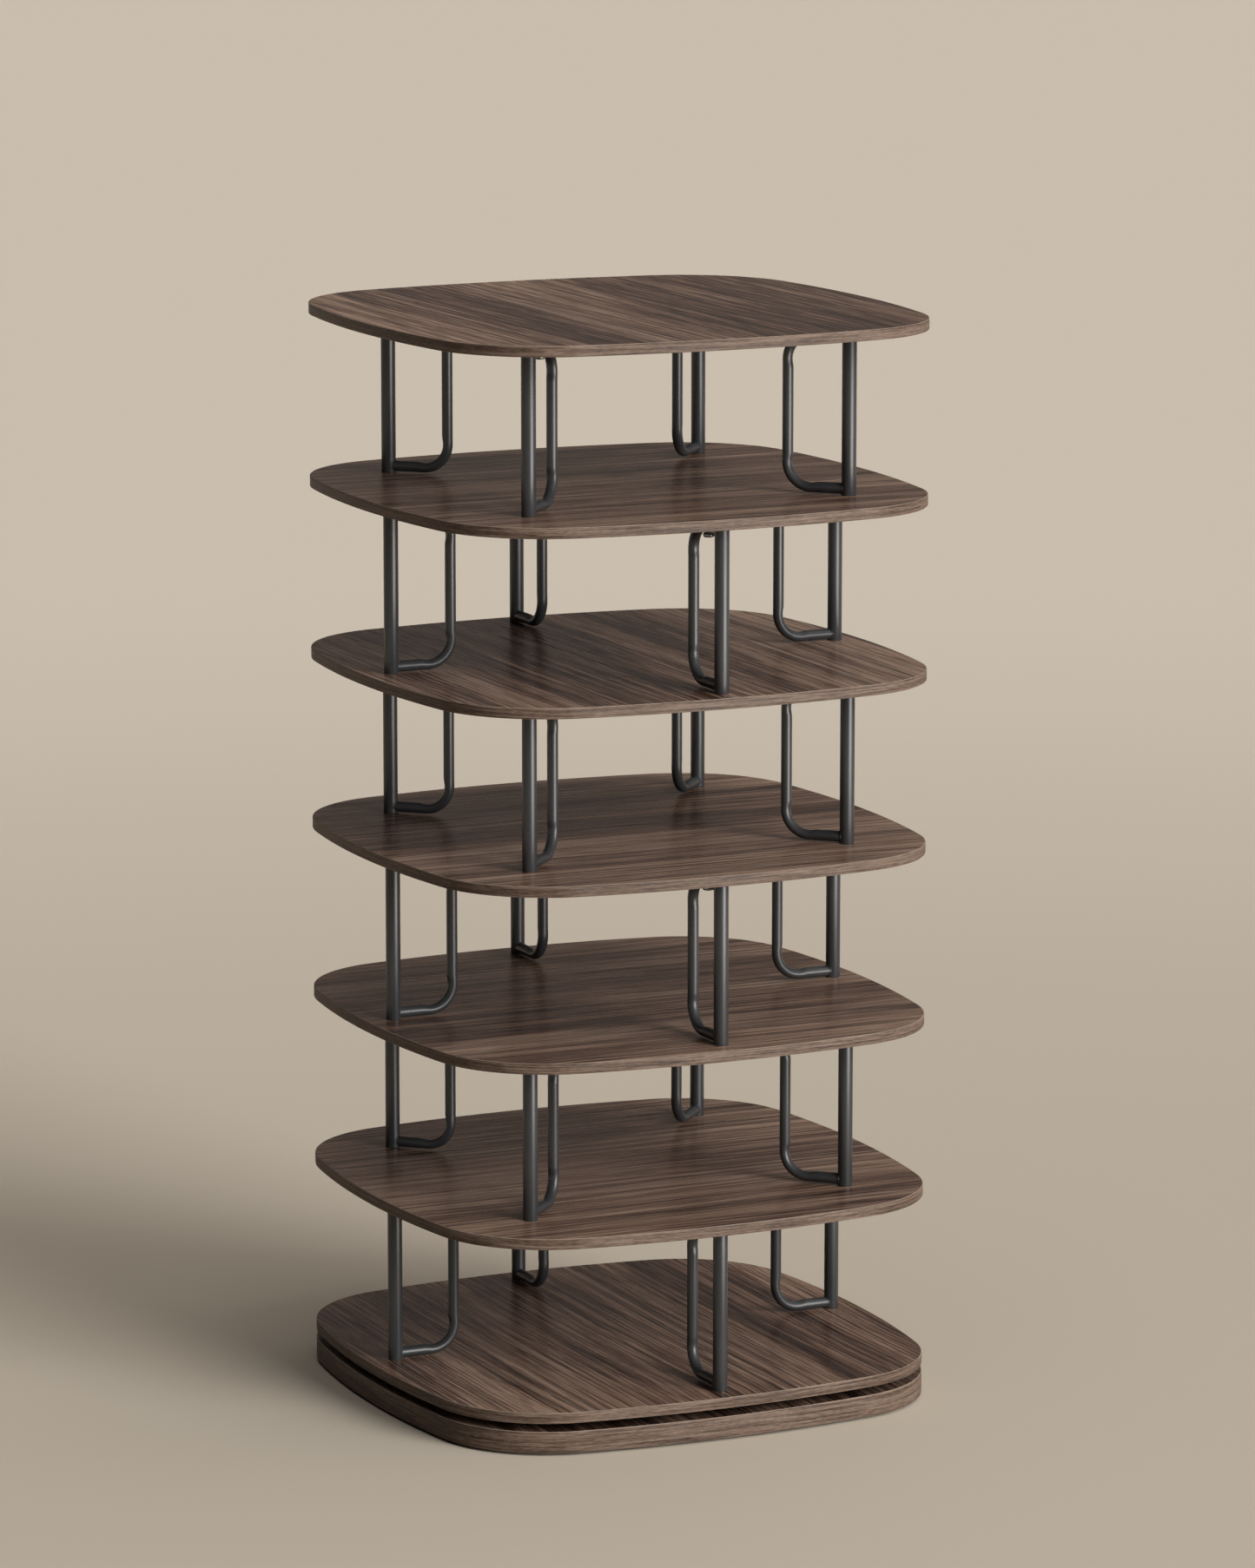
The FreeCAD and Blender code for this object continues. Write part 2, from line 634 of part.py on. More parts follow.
def ring(label, outside, inside, height):
    """A flat ring with the ball groove cut into the wall that faces the balls."""
    body = body_named(label)
    sketch = sketch_on(body, label + "_walls")
    circle(sketch, "outside", outside)
    circle(sketch, "inside", inside)
    pad(body, label + "_pad", sketch, "Sizes.ring_height")
    section = sketch_on(body, label + "_groove_section", "XZ_Plane")
    circle(section, "groove", "Dimensions.groove_diameter", along="Dimensions.ball_circle / 2",
           across="Sizes.ball_height - (%s)" % height)
    doc.recompute()
    groove = feature(body, "Groove", label + "_groove", section)
    groove.ReferenceAxis = (origin_feature(body, "Z_Axis"), [""])
    groove.Angle = 360
    doc.recompute()
    place(body, height)
    keep(body)
    return body


def make_bearing():
    outer = ring("bearing_outer_ring", "Dimensions.outer_ring_outside",
                 "Dimensions.outer_ring_inside", "Sizes.base_top")
    sunk_holes(outer, "outer_ring_holes", "Dimensions.ring_hole_diameter",
               "Dimensions.ring_sink_diameter", "Dimensions.outer_screw_circle / 2",
               height="Sizes.ring_height", upwards=False)
    inner = ring("bearing_inner_ring", "Dimensions.inner_ring_outside",
                 "Dimensions.inner_ring_inside", "Sizes.base_top + Dimensions.bearing_clearance")
    sunk_holes(inner, "inner_ring_holes", "Dimensions.ring_hole_diameter",
               "Dimensions.ring_sink_diameter", "Dimensions.inner_screw_circle / 2")

    base_screws = ring_screws("bearing_base_screws", "Dimensions.outer_screw_circle / 2")
    place(base_screws, "Sizes.base_top + Sizes.ring_height", turn=180, axis=Vector(1, 0, 0))
    top_screws = ring_screws("bearing_top_screws", "Dimensions.inner_screw_circle / 2")
    place(top_screws, "Sizes.base_top + Dimensions.bearing_clearance")

    cage = body_named("ball_cage")
    sketch = sketch_on(cage, "cage_walls", height="-Dimensions.cage_height / 2")
    circle(sketch, "outside", "Dimensions.ball_circle + Dimensions.cage_thickness")
    circle(sketch, "inside", "Dimensions.ball_circle - Dimensions.cage_thickness")
    pad(cage, "cage_wall", sketch, "Dimensions.cage_height")
    sketch = sketch_on(cage, "cage_pocket_circle", "YZ_Plane")
    circle(sketch, "pocket", "Dimensions.cage_pocket")
    doc.recompute()
    first = pocket(cage, "cage_pocket_first", sketch)
    doc.recompute()
    quartered(cage, "cage_pockets", [first], BALLS)
    place(cage, "Sizes.ball_height")
    keep(cage)

    balls = body_named("bearing_balls")
    ball = primitive(balls, "AdditiveSphere", "ball_first", along="Dimensions.ball_circle / 2",
                     Radius="Dimensions.ball_diameter / 2")
    doc.recompute()
    quartered(balls, "balls_round", [ball], BALLS)
    place(balls, "Sizes.ball_height")
    keep(balls)


def ring_screws(label, radius):
    screws = sunk_screw_set(label, radius, "Dimensions.ring_screw_head",
                            "Dimensions.ring_sink_diameter", "Dimensions.ring_screw_shank",
                            "Dimensions.ring_screw_length")
    keep(screws)
    return screws


# ---------------------------------------------------------------- checks and export

CUTTING = ("PartDesign::Pocket", "PartDesign::Hole", "PartDesign::Groove",
           "PartDesign::SubtractivePrism")


def check_document():
    for item in doc.Objects:
        if {"Invalid", "Error"} & set(item.State):
            raise RuntimeError("%s is %s" % (item.Label, item.State))
        if item.TypeId in CUTTING and item.Shape.Volume >= item.BaseFeature.Shape.Volume:
            raise RuntimeError("%s removes nothing" % item.Label)
        if item.TypeId == "Sketcher::SketchObject" and item.solve() != 0:
            raise RuntimeError("%s cannot be solved" % item.Label)
    for part in subparts:
        if part.Shape.isNull() or not part.Shape.isValid():
            raise RuntimeError("%s has no valid shape" % part.Label)


def export_parts():
    os.makedirs("parts", exist_ok=True)
    for part in subparts:
        part.Shape.exportStep("parts/%s.step" % part.Label)
        solids = len(part.Shape.Solids)
        print("%-28s %3d solids %10.1f cm3" % (part.Label, solids, part.Shape.Volume / 1000))


make_base()
make_bearing()
make_boards()
make_brackets()
make_tier_hardware()
doc.recompute()
check_document()
export_parts()
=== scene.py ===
"""Looks of a rotating shoe tower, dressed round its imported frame.

Lengths are in metres and angles in radians. The tower stands on the floor with its axis on the
Z axis, and its front faces -Y. Each class makes and dresses one kind of sub-assembly, and each
finish is a frozen dataclass that builds its own material.
"""

import logging
import math
from collections.abc import Callable, Iterable, Iterator
from contextlib import contextmanager
from dataclasses import dataclass, field, replace
from enum import Enum

import bmesh
import bpy
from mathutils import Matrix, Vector

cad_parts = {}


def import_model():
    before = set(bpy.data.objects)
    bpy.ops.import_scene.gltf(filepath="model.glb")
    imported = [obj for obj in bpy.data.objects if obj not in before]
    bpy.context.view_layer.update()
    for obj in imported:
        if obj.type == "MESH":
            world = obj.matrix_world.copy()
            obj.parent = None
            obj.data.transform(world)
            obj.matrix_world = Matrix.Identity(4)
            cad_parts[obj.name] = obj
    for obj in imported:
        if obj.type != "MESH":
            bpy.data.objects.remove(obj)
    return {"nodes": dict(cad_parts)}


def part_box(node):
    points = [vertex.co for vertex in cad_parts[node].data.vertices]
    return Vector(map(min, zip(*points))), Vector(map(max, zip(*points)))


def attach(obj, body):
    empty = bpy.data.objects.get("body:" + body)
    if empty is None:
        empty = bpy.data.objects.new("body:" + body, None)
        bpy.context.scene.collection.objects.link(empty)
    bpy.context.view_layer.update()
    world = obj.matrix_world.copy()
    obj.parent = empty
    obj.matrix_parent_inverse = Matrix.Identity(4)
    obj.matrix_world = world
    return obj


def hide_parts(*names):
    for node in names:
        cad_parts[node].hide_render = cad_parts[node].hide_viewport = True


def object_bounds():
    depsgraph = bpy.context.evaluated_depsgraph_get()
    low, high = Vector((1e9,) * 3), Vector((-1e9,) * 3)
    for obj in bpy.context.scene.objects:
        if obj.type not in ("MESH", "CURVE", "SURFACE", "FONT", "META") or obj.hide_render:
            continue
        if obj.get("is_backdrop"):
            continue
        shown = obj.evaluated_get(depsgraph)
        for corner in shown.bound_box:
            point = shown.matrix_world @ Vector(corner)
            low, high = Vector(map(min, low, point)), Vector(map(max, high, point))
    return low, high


LOG = logging.getLogger("shoe_tower")

MM = 0.001
QUARTER_TURN = math.pi / 2
UP = Vector((0, 0, 1))
SHELVES = 6                 # shelves, and so tiers of brackets
QUARTERS = 4                # brackets, bolts and screws to a circle
GRAIN_ALONG_Y = (1, 3, 7)   # boards from the top whose grain runs from front to back
# the share of the laminate's colour that the base board keeps: painted shade for its top, which lies under
# the turntable
BASE_PAINTED_SHADE = 0.45            # the base board's tone against the other boards'
NOISE_MEAN = 0.5            # the value about which a noise pattern swings

Triple = tuple[float, float, float]
Colour = Triple             # red, green and blue
Tones = tuple[tuple[float, Colour], ...]    # a colour ramp's stops in order
Socket = bpy.types.NodeSocket
Value = Socket | float | Triple             # what an input is linked to or set to


# ---------------------------------------------------------------- bench: shared modelling steps


def outwards(angle: float) -> Vector:
    """The level direction at an angle from the X axis."""
    return Vector((math.cos(angle), math.sin(angle), 0))


def activate(piece: bpy.types.Object) -> None:
    """Select one piece alone, and make it the active object."""
    bpy.ops.object.select_all(action="DESELECT")
    piece.select_set(True)
    bpy.context.view_layer.objects.active = piece


def settle(name: str) -> bpy.types.Object:
    """Name the new primitive and put its place and size into its mesh.

    Args:
        name: The piece's name.

    Returns:
        The active object, at the origin, unturned and unscaled.
    """
    piece = bpy.context.object
    piece.name = name
    piece.data.name = name
    bpy.ops.object.transform_apply(location=True, rotation=True, scale=True)
    return piece


def cylinder(name: str, sides: int, radius: float, depth: float,
             place: Iterable[float] = (0, 0, 0)) -> bpy.types.Object:
    """Add an upright cylinder.

    Args:
        name: The piece's name.
        sides: How many facets it has.
        radius: Its radius.
        depth: Its length.
        place: Its middle.

    Returns:
        The cylinder.
    """
    bpy.ops.mesh.primitive_cylinder_add(vertices=sides, radius=radius, depth=depth, location=place)
    return settle(name)


@contextmanager
def editing(piece: bpy.types.Object) -> Iterator[None]:
    """Edit mode on one piece, with nothing selected at the start.

    Args:
        piece: The mesh object to edit.

    Yields:
        Nothing.
    """
    activate(piece)
    bpy.ops.object.mode_set(mode="EDIT")
    bpy.ops.mesh.select_all(action="DESELECT")
    yield
    bpy.ops.object.mode_set(mode="OBJECT")


def select_where(rule: Callable[[Vector], bool], mode: str = "VERT") -> None:
    """Select the parts of the mesh in edit mode whose every corner keeps a rule.

    Args:
        rule: True for the place of a corner that belongs to the selection.
        mode: Blender's selection mode: VERT, EDGE or FACE.
    """
    bpy.ops.mesh.select_all(action="DESELECT")
    bpy.ops.mesh.select_mode(type=mode)
    mesh = bmesh.from_edit_mesh(bpy.context.object.data)
    parts = {"VERT": mesh.verts, "EDGE": mesh.edges, "FACE": mesh.faces}[mode]
    for part in parts:
        corners = [part] if mode == "VERT" else part.verts
        part.select = all(rule(corner.co) for corner in corners)
    mesh.select_flush_mode()
    bmesh.update_edit_mesh(bpy.context.object.data)


def select_all() -> None:
    """Select the whole mesh in edit mode."""
    bpy.ops.mesh.select_all(action="SELECT")


def bevel(offset: float, segments: int, affect: str = "EDGES") -> None:
    """Bevel the edges, or the corners, that are selected in edit mode."""
    bpy.ops.mesh.bevel(offset=offset, segments=segments, affect=affect)


def extrude(step: Iterable[float]) -> None:
    """Extrude the selected faces and move the new ones by a step."""
    bpy.ops.mesh.extrude_region_move(TRANSFORM_OT_translate={"value": step})


def close_up(distance: float = 0.001 * MM) -> None:
    """Merge the doubles of the mesh in edit mode, then turn its faces outwards.

    Args:
        distance: How far apart two corners may be and still be one.
    """
    select_all()
    bpy.ops.mesh.remove_doubles(threshold=distance)
    bpy.ops.mesh.normals_make_consistent(inside=False)


def apply(piece: bpy.types.Object, kind: str, **values: object) -> None:
    """Add a modifier to a piece and apply it.

    Args:
        piece: The mesh object.
        kind: Blender's name for the modifier's type.
        **values: The modifier's properties.
    """
    activate(piece)
    modifier = piece.modifiers.new(kind.title(), kind)
    for name, value in values.items():
        setattr(modifier, name, value)
    bpy.ops.object.modifier_apply(modifier=modifier.name)


def combine(piece: bpy.types.Object, other: bpy.types.Object, operation: str) -> None:
    """Join another solid to a piece, or cut it out, and remove the other.

    Args:
        piece: The solid that stays.
        other: The solid that is used up.
        operation: UNION or DIFFERENCE.
    """
    apply(piece, "BOOLEAN", operation=operation, object=other, solver="EXACT")
    bpy.data.objects.remove(other)


def smooth(piece: bpy.types.Object, angle: float = math.radians(32)) -> None:
    """Smooth a piece's shading except over sharp edges.

    Args:
        piece: The mesh object.
        angle: The largest angle between two faces that is smoothed.
    """
    activate(piece)
    bpy.ops.object.shade_smooth_by_angle(angle=angle)


def duplicate(piece: bpy.types.Object, name: str, turn: float, shift: Vector) -> bpy.types.Object:
    """Copy a piece with its own mesh, turned about the Z axis and then moved.

    Args:
        piece: The piece to copy, modelled round the origin.
        name: The copy's name.
        turn: How far the copy is turned.
        shift: Where the copy's origin goes.

    Returns:
        The copy, its place in its mesh.
    """
    copy = piece.copy()
    copy.data = piece.data.copy()
    bpy.context.scene.collection.objects.link(copy)
    copy.rotation_euler = (0, 0, turn)
    copy.location = shift
    activate(copy)
    return settle(name)


def dress(piece: bpy.types.Object, material: bpy.types.Material) -> None:
    """Give a whole piece one material.

    Args:
        piece: A new piece or a node of the frame.
        material: Its material.
    """
    piece.data.materials.clear()
    piece.data.materials.append(material)


def install(piece: bpy.types.Object, body: str, slot: str, *nodes: str) -> None:
    """Fix a finished piece to a body, in place of the frame's own nodes.

    Args:
        piece: The finished piece.
        body: The body that carries it.
        slot: The record's material slot of its finish; not used.
        *nodes: The nodes of the frame that it stands for.
    """
    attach(piece, body)
    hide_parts(*nodes)
    LOG.info("%s rides on %s and replaces %s", piece.name, body, ", ".join(nodes))


# ---------------------------------------------------------------- finishes


class Grain(Enum):
    """The direction in which the laminate's grain runs."""

    ALONG_X = "x"
    ALONG_Y = "y"

    def scaled(self, across: float, along: float, height: float) -> Triple:
        """A pattern's scale in X, Y and Z from its scale across and along the grain."""
        return (along, across, height) if self is Grain.ALONG_X else (across, along, height)


@dataclass(frozen=True)
class Layer:
    """One layer of noise: its fineness, how far its contrast is stretched, and its share."""

    scale: Triple
    detail: float
    roughness: float
    low: float = 0.0
    high: float = 1.0
    weight: float = 1.0


@dataclass(frozen=True)
class Sheen:
    """What a texture adds to the roughness, its depth and how strongly that shows, and the gloss."""

    roughening: float
    depth: float
    strength: float
    gloss: float = 0.5
    metallic: float = 0.0


class Graph:
    """A node tree, with short calls to add and join nodes."""

    def __init__(self, tree: bpy.types.NodeTree) -> None:
        """Start with no nodes.

        Args:
            tree: The node tree of a material or a world.
        """
        self.tree = tree
        tree.nodes.clear()

    def feed(self, target: Socket, value: Value) -> None:
        """Link an input to a socket, or set it to a value."""
        if isinstance(value, Socket):
            self.tree.links.new(value, target)
        else:
            target.default_value = (*value, 1) if target.type == "RGBA" else value

    def adjust(self, node: bpy.types.Node, **values: object) -> bpy.types.Node:
        """Set a node's properties and inputs.

        Args:
            node: The node.
            **values: Its properties, in small letters, and its inputs, with underscores for
                spaces: each a value or the socket that it is linked to.

        Returns:
            The same node.
        """
        for name, value in values.items():
            if name.islower():
                setattr(node, name, value)
            else:
                self.feed(node.inputs[name.replace("_", " ")], value)
        return node

    def add(self, kind: str, *ordered: Value, **named: object) -> bpy.types.Node:
        """Add a node.

        Args:
            kind: The node's type, as Blender names it after the word ShaderNode.
            *ordered: Its first inputs.
            **named: Its properties and other inputs.

        Returns:
            The new node.
        """
        node = self.adjust(self.tree.nodes.new(f"ShaderNode{kind}"), **named)
        for target, value in zip(node.inputs, ordered):
            self.feed(target, value)
        return node

    def math(self, operation: str, *values: Value) -> Socket:
        """The result of a Math node on sockets or numbers."""
        return self.add("Math", *values, operation=operation).outputs[0]

    def mask(self, value: Socket, low: float, high: float) -> Socket:
        """0 up to a low value and 1 from a high one, smooth between.

        Args:
            value: The value to test.
            low: Where the mask starts to rise.
            high: Where it is full.

        Returns:
            The mask's socket.
        """
        node = self.add("MapRange", interpolation_type="SMOOTHSTEP", Value=value, From_Min=low, From_Max=high)
        return node.outputs["Result"]

    def blend(self, amount: Socket, first: Value, second: Value) -> Socket:
        """Mix two colours by an amount.

        Args:
            amount: 0 for the first colour, 1 for the second.
            first: A colour or a colour socket.
            second: A colour or a colour socket.

        Returns:
            The mixed colour's socket.
        """
        node = self.add("Mix", data_type="RGBA", Factor=amount)
        for label, value in (("A", first), ("B", second)):
            self.feed(next(s for s in node.inputs if s.name == label and s.type == "RGBA"), value)
        return next(s for s in node.outputs if s.type == "RGBA")

    def ramp(self, value: Socket, tones: Tones) -> Socket:
        """A colour ramp.

        Args:
            value: Where along the ramp.
            tones: Its stops.

        Returns:
            The colour's socket.
        """
        node = self.add("ValToRGB", value)
        elements = node.color_ramp.elements
        while len(elements) < len(tones):
            elements.new(1.0)
        for element, (position, colour) in zip(elements, tones):
            element.position = position
            element.color = (*colour, 1)
        return node.outputs["Color"]

    def seen(self) -> Socket:
        """1 where the camera looks, straight, in a reflection or through glass, and 0 for diffuse light.

        Returns:
            The value's socket.
        """
        paths = self.add("LightPath")
        total = paths.outputs["Is Camera Ray"]
        for name in ("Is Glossy Ray", "Is Transmission Ray"):
            total = self.math("MAXIMUM", total, paths.outputs[name])
        return total


class Recipe(Graph):
    """A material's node tree, its shader and the coordinates of its patterns, in metres."""

    def __init__(self, name: str) -> None:
        """Start an empty material.

        Args:
            name: The material's name.
        """
        self.material = bpy.data.materials.new(name)
        self.material.use_nodes = True
        super().__init__(self.material.node_tree)
        self.shader = self.add("BsdfPrincipled")
        self.add("OutputMaterial", Surface=self.shader.outputs["BSDF"])
        self.place = self.add("TexCoord").outputs["Object"]

    def noise(self, layer: Layer) -> Socket:
        """A layer's bare noise, about as much over as under its mean."""
        mapping = self.add("Mapping", self.place, Scale=layer.scale)
        return self.add(
            "TexNoise", mapping.outputs["Vector"], Scale=1.0, Detail=layer.detail, Roughness=layer.roughness
        ).outputs["Fac"]

    def layer(self, layer: Layer) -> Socket:
        """A layer with its contrast stretched, from 0 to its weight."""
        return self.math("MULTIPLY", self.mask(self.noise(layer), layer.low, layer.high), layer.weight)

    def stack(self, layers: Iterable[Layer]) -> Socket:
        """The sum of some layers.

        Args:
            layers: The layers, whose weights add up to 1.

        Returns:
            The sum's socket.
        """
        total: Value = 0.0
        for layer in layers:
            total = self.math("ADD", self.layer(layer), total)
        return total

    def finish(self, colour: Socket, roughness: float, sheen: Sheen, texture: Socket,
               height: Socket) -> bpy.types.Material:
        """Set up the shader.

        Args:
            colour: The surface's colour.
            roughness: Its roughness where the texture is 0.
            sheen: How it shines.
            texture: What roughens it, from 0 to 1.
            height: What raises it, from 0 to 1.

        Returns:
            The finished material.
        """
        bump = self.add("Bump", Strength=sheen.strength, Distance=sheen.depth, Height=height)
        self.adjust(
            self.shader,
            Base_Color=colour,
            Roughness=self.math("ADD", self.math("MULTIPLY", texture, sheen.roughening), roughness),
            Normal=bump.outputs["Normal"],
            Specular_IOR_Level=sheen.gloss,
            Metallic=sheen.metallic,
        )
        return self.material


@dataclass(frozen=True)
class WalnutLaminate:
    """Printed walnut on the boards' faces: broad bands, streaks, fine figure and pore lines.

    Each layer's scale is given across the grain, along it and through the board.
    """

    grain: Grain
    label: str = "walnut_laminate"
    heart: Colour = (0.010, 0.004, 0.004)
    tones: Tones = (
        (0.12, (0.022, 0.010, 0.008)),
        (0.34, (0.082, 0.045, 0.031)),
        (0.56, (0.235, 0.144, 0.101)),
        (0.80, (0.400, 0.275, 0.205)),
    )
    bands: Layer = Layer((8.0, 0.55, 23.0), 2.0, 0.45, 0.40, 0.60, 0.34)
    streaks: Layer = Layer((34.0, 0.8, 23.0), 5.0, 0.74, 0.37, 0.63, 0.27)
    figure: Layer = Layer((340.0, 4.0, 23.0), 3.0, 0.72, 0.39, 0.61, 0.39)
    pores: Layer = Layer((1100.0, 16.0, 23.0), 2.0, 0.50, 0.53, 0.65, 0.66)
    heart_bands: Layer = Layer((8.0, 0.35, 23.0), 1.0, 0.45, 0.46, 0.58)
    heart_streaks: Layer = Layer((110.0, 0.9, 23.0), 4.0, 0.78, 0.45, 0.62, 0.74)
    drift: Layer = Layer((3.0, 1.6, 23.0), 1.0, 0.4)
    drift_reach: float = 0.022
    roughness: float = 0.27
    sheen: Sheen = Sheen(0.25, 0.04 * MM, 0.3, gloss=0.20)

    def shaded(self, label: str, share: float) -> "WalnutLaminate":
        """The same laminate darkened: a shaded copy that paints shade into its colour.

        Args:
            label: What the material is called.
            share: How much of each colour is left.

        Returns:
            The darker finish.
        """
        heart = tuple(Vector(self.heart) * share)
        tones = tuple((stop, tuple(Vector(colour) * share)) for stop, colour in self.tones)
        return replace(self, label=label, heart=heart, tones=tones)

    def laid(self, layer: Layer) -> Layer:
        """A layer with its scale laid along the board's grain."""
        return replace(layer, scale=self.grain.scaled(*layer.scale))

    def make(self) -> bpy.types.Material:
        """Build the material, its grain drifting gently sideways.

        Returns:
            The finished material.
        """
        recipe = Recipe(f"{self.label}_along_{self.grain.value}")
        swing = recipe.math("SUBTRACT", recipe.noise(self.laid(self.drift)), NOISE_MEAN)
        across = "Y" if self.grain is Grain.ALONG_X else "X"
        shift = recipe.add("CombineXYZ", **{across: recipe.math("MULTIPLY", swing, self.drift_reach)})
        recipe.place = recipe.add("VectorMath", recipe.place, shift.outputs["Vector"]).outputs["Vector"]
        tone = recipe.stack(self.laid(layer) for layer in (self.bands, self.streaks, self.figure))
        bands, streaks, pores = (
            recipe.layer(self.laid(layer)) for layer in (self.heart_bands, self.heart_streaks, self.pores)
        )
        hearts = recipe.math("MULTIPLY", bands, streaks)
        wood = recipe.blend(hearts, recipe.ramp(tone, self.tones), self.heart)
        colour = recipe.blend(pores, wood, self.heart)
        return recipe.finish(colour, self.roughness, self.sheen, pores, recipe.math("SUBTRACT", 1.0, pores))


@dataclass(frozen=True)
class WalnutEdging:
    """The edge band: the same walnut, its grain level round every edge, a pale highlight painted on its arris
    and narrow top and bottom.
    """

    tones: Tones = (
        (0.15, (0.047, 0.030, 0.022)),
        (0.50, (0.130, 0.088, 0.065)),
        (0.85, (0.220, 0.162, 0.126)),
    )
    streaks: Layer = Layer((9.0, 9.0, 420.0), 3.0, 0.6, 0.33, 0.67, 0.45)
    lines: Layer = Layer((32.0, 32.0, 1300.0), 2.0, 0.6, 0.33, 0.67, 0.30)
    mottle: Layer = Layer((120.0, 120.0, 800.0), 3.0, 0.6, 0.33, 0.67, 0.25)
    # a pale colour painted on the rounded arris, top and bottom, as a highlight
    arris: Colour = (0.330, 0.262, 0.212)
    arris_highlight_share: float = 0.6
    arris_highlight_start: float = 0.15
    arris_highlight_end: float = 0.60
    roughness: float = 0.45
    sheen: Sheen = Sheen(0.15, 0.05 * MM, 0.4, gloss=0.22)

    def make(self) -> bpy.types.Material:
        """Build the material.

        Returns:
            The finished material.
        """
        recipe = Recipe("walnut_edging")
        tone = recipe.stack((self.streaks, self.lines, self.mottle))
        # the painted highlight: pale wherever the band's normal leans up or down, on its rounded arris and
        # its narrow top and bottom
        normal = recipe.add("SeparateXYZ", recipe.add("NewGeometry").outputs["Normal"])
        painted_highlight_mask = recipe.mask(recipe.math("ABSOLUTE", normal.outputs["Z"]), self.arris_highlight_start, self.arris_highlight_end)
        rounded = recipe.math("MULTIPLY", painted_highlight_mask, self.arris_highlight_share)
        colour = recipe.blend(rounded, recipe.ramp(tone, self.tones), self.arris)
        return recipe.finish(colour, self.roughness, self.sheen, tone, tone)


@dataclass(frozen=True)
class Textured:
    """A colour that wears to another along a fine texture, or in clouds of its own."""

    name: str
    base: Colour
    worn: Colour
    roughness: float
    texture: Layer
    sheen: Sheen
    clouds: Layer | None = None

    def make(self) -> bpy.types.Material:
        """Build the material.

        Returns:
            The finished material.
        """
        recipe = Recipe(self.name)
        texture = recipe.noise(self.texture)
        colour = recipe.blend(recipe.layer(self.clouds or self.texture), self.base, self.worn)
        return recipe.finish(colour, self.roughness, self.sheen, texture, texture)


@dataclass(frozen=True)
class PowderCoat(Textured):
    """Satin dark grey powder coat on the brackets."""

    name: str = "graphite_powder_coat"
    base: Colour = (0.027, 0.029, 0.0315)
    worn: Colour = (0.034, 0.036, 0.0385)
    roughness: float = 0.31
    texture: Layer = Layer((1400.0, 1400.0, 1400.0), 2.0, 0.6)
    sheen: Sheen = Sheen(0.10, 0.02 * MM, 0.5, gloss=0.60)
    clouds: Layer | None = Layer((38.0, 38.0, 14.0), 2.0, 0.5, 0.35, 0.65)


@dataclass(frozen=True)
class Metal(Textured):
    """A bare or plated metal with fine turning or rolling marks."""

    texture: Layer = Layer((60.0, 60.0, 1600.0), 3.0, 0.6, 0.40, 0.70)
    sheen: Sheen = Sheen(0.16, 0.01 * MM, 0.4, metallic=1.0)


@dataclass(frozen=True)
class Moulded(Textured):
    """A moulded plastic or rubber with a fine grain."""

    texture: Layer = Layer((900.0, 900.0, 900.0), 3.0, 0.6, 0.40, 0.65)
    sheen: Sheen = Sheen(0.15, 0.03 * MM, 0.6)


BLACK_OXIDE = Metal("black_oxide_steel", (0.150, 0.150, 0.155), (0.240, 0.240, 0.245), 0.14)
ZINC = Metal("zinc_plated_steel", (0.50, 0.51, 0.53), (0.62, 0.63, 0.64), 0.26)
PLAIN_STEEL = Metal("turned_steel", (0.42, 0.42, 0.43), (0.54, 0.54, 0.55), 0.30)
BRASS = Metal("turned_brass", (0.56, 0.41, 0.18), (0.68, 0.52, 0.26), 0.26)
ALUMINIUM = Metal("rolled_aluminium", (0.58, 0.58, 0.59), (0.70, 0.70, 0.71), 0.32)
BALL_STEEL = Metal("bearing_ball_steel", (0.62, 0.62, 0.63), (0.70, 0.70, 0.71), 0.08)
CAGE_PLASTIC = Moulded("moulded_nylon", (0.55, 0.53, 0.48), (0.64, 0.62, 0.57), 0.42)
PAD_RUBBER = Moulded("moulded_rubber", (0.016, 0.016, 0.017), (0.030, 0.030, 0.031), 0.62)


# ---------------------------------------------------------------- boards


@dataclass(frozen=True)
class Stretch:
    """One arc of an outline: a turn about an upright axis."""

    centre: Vector
    angle: float
    steps: int


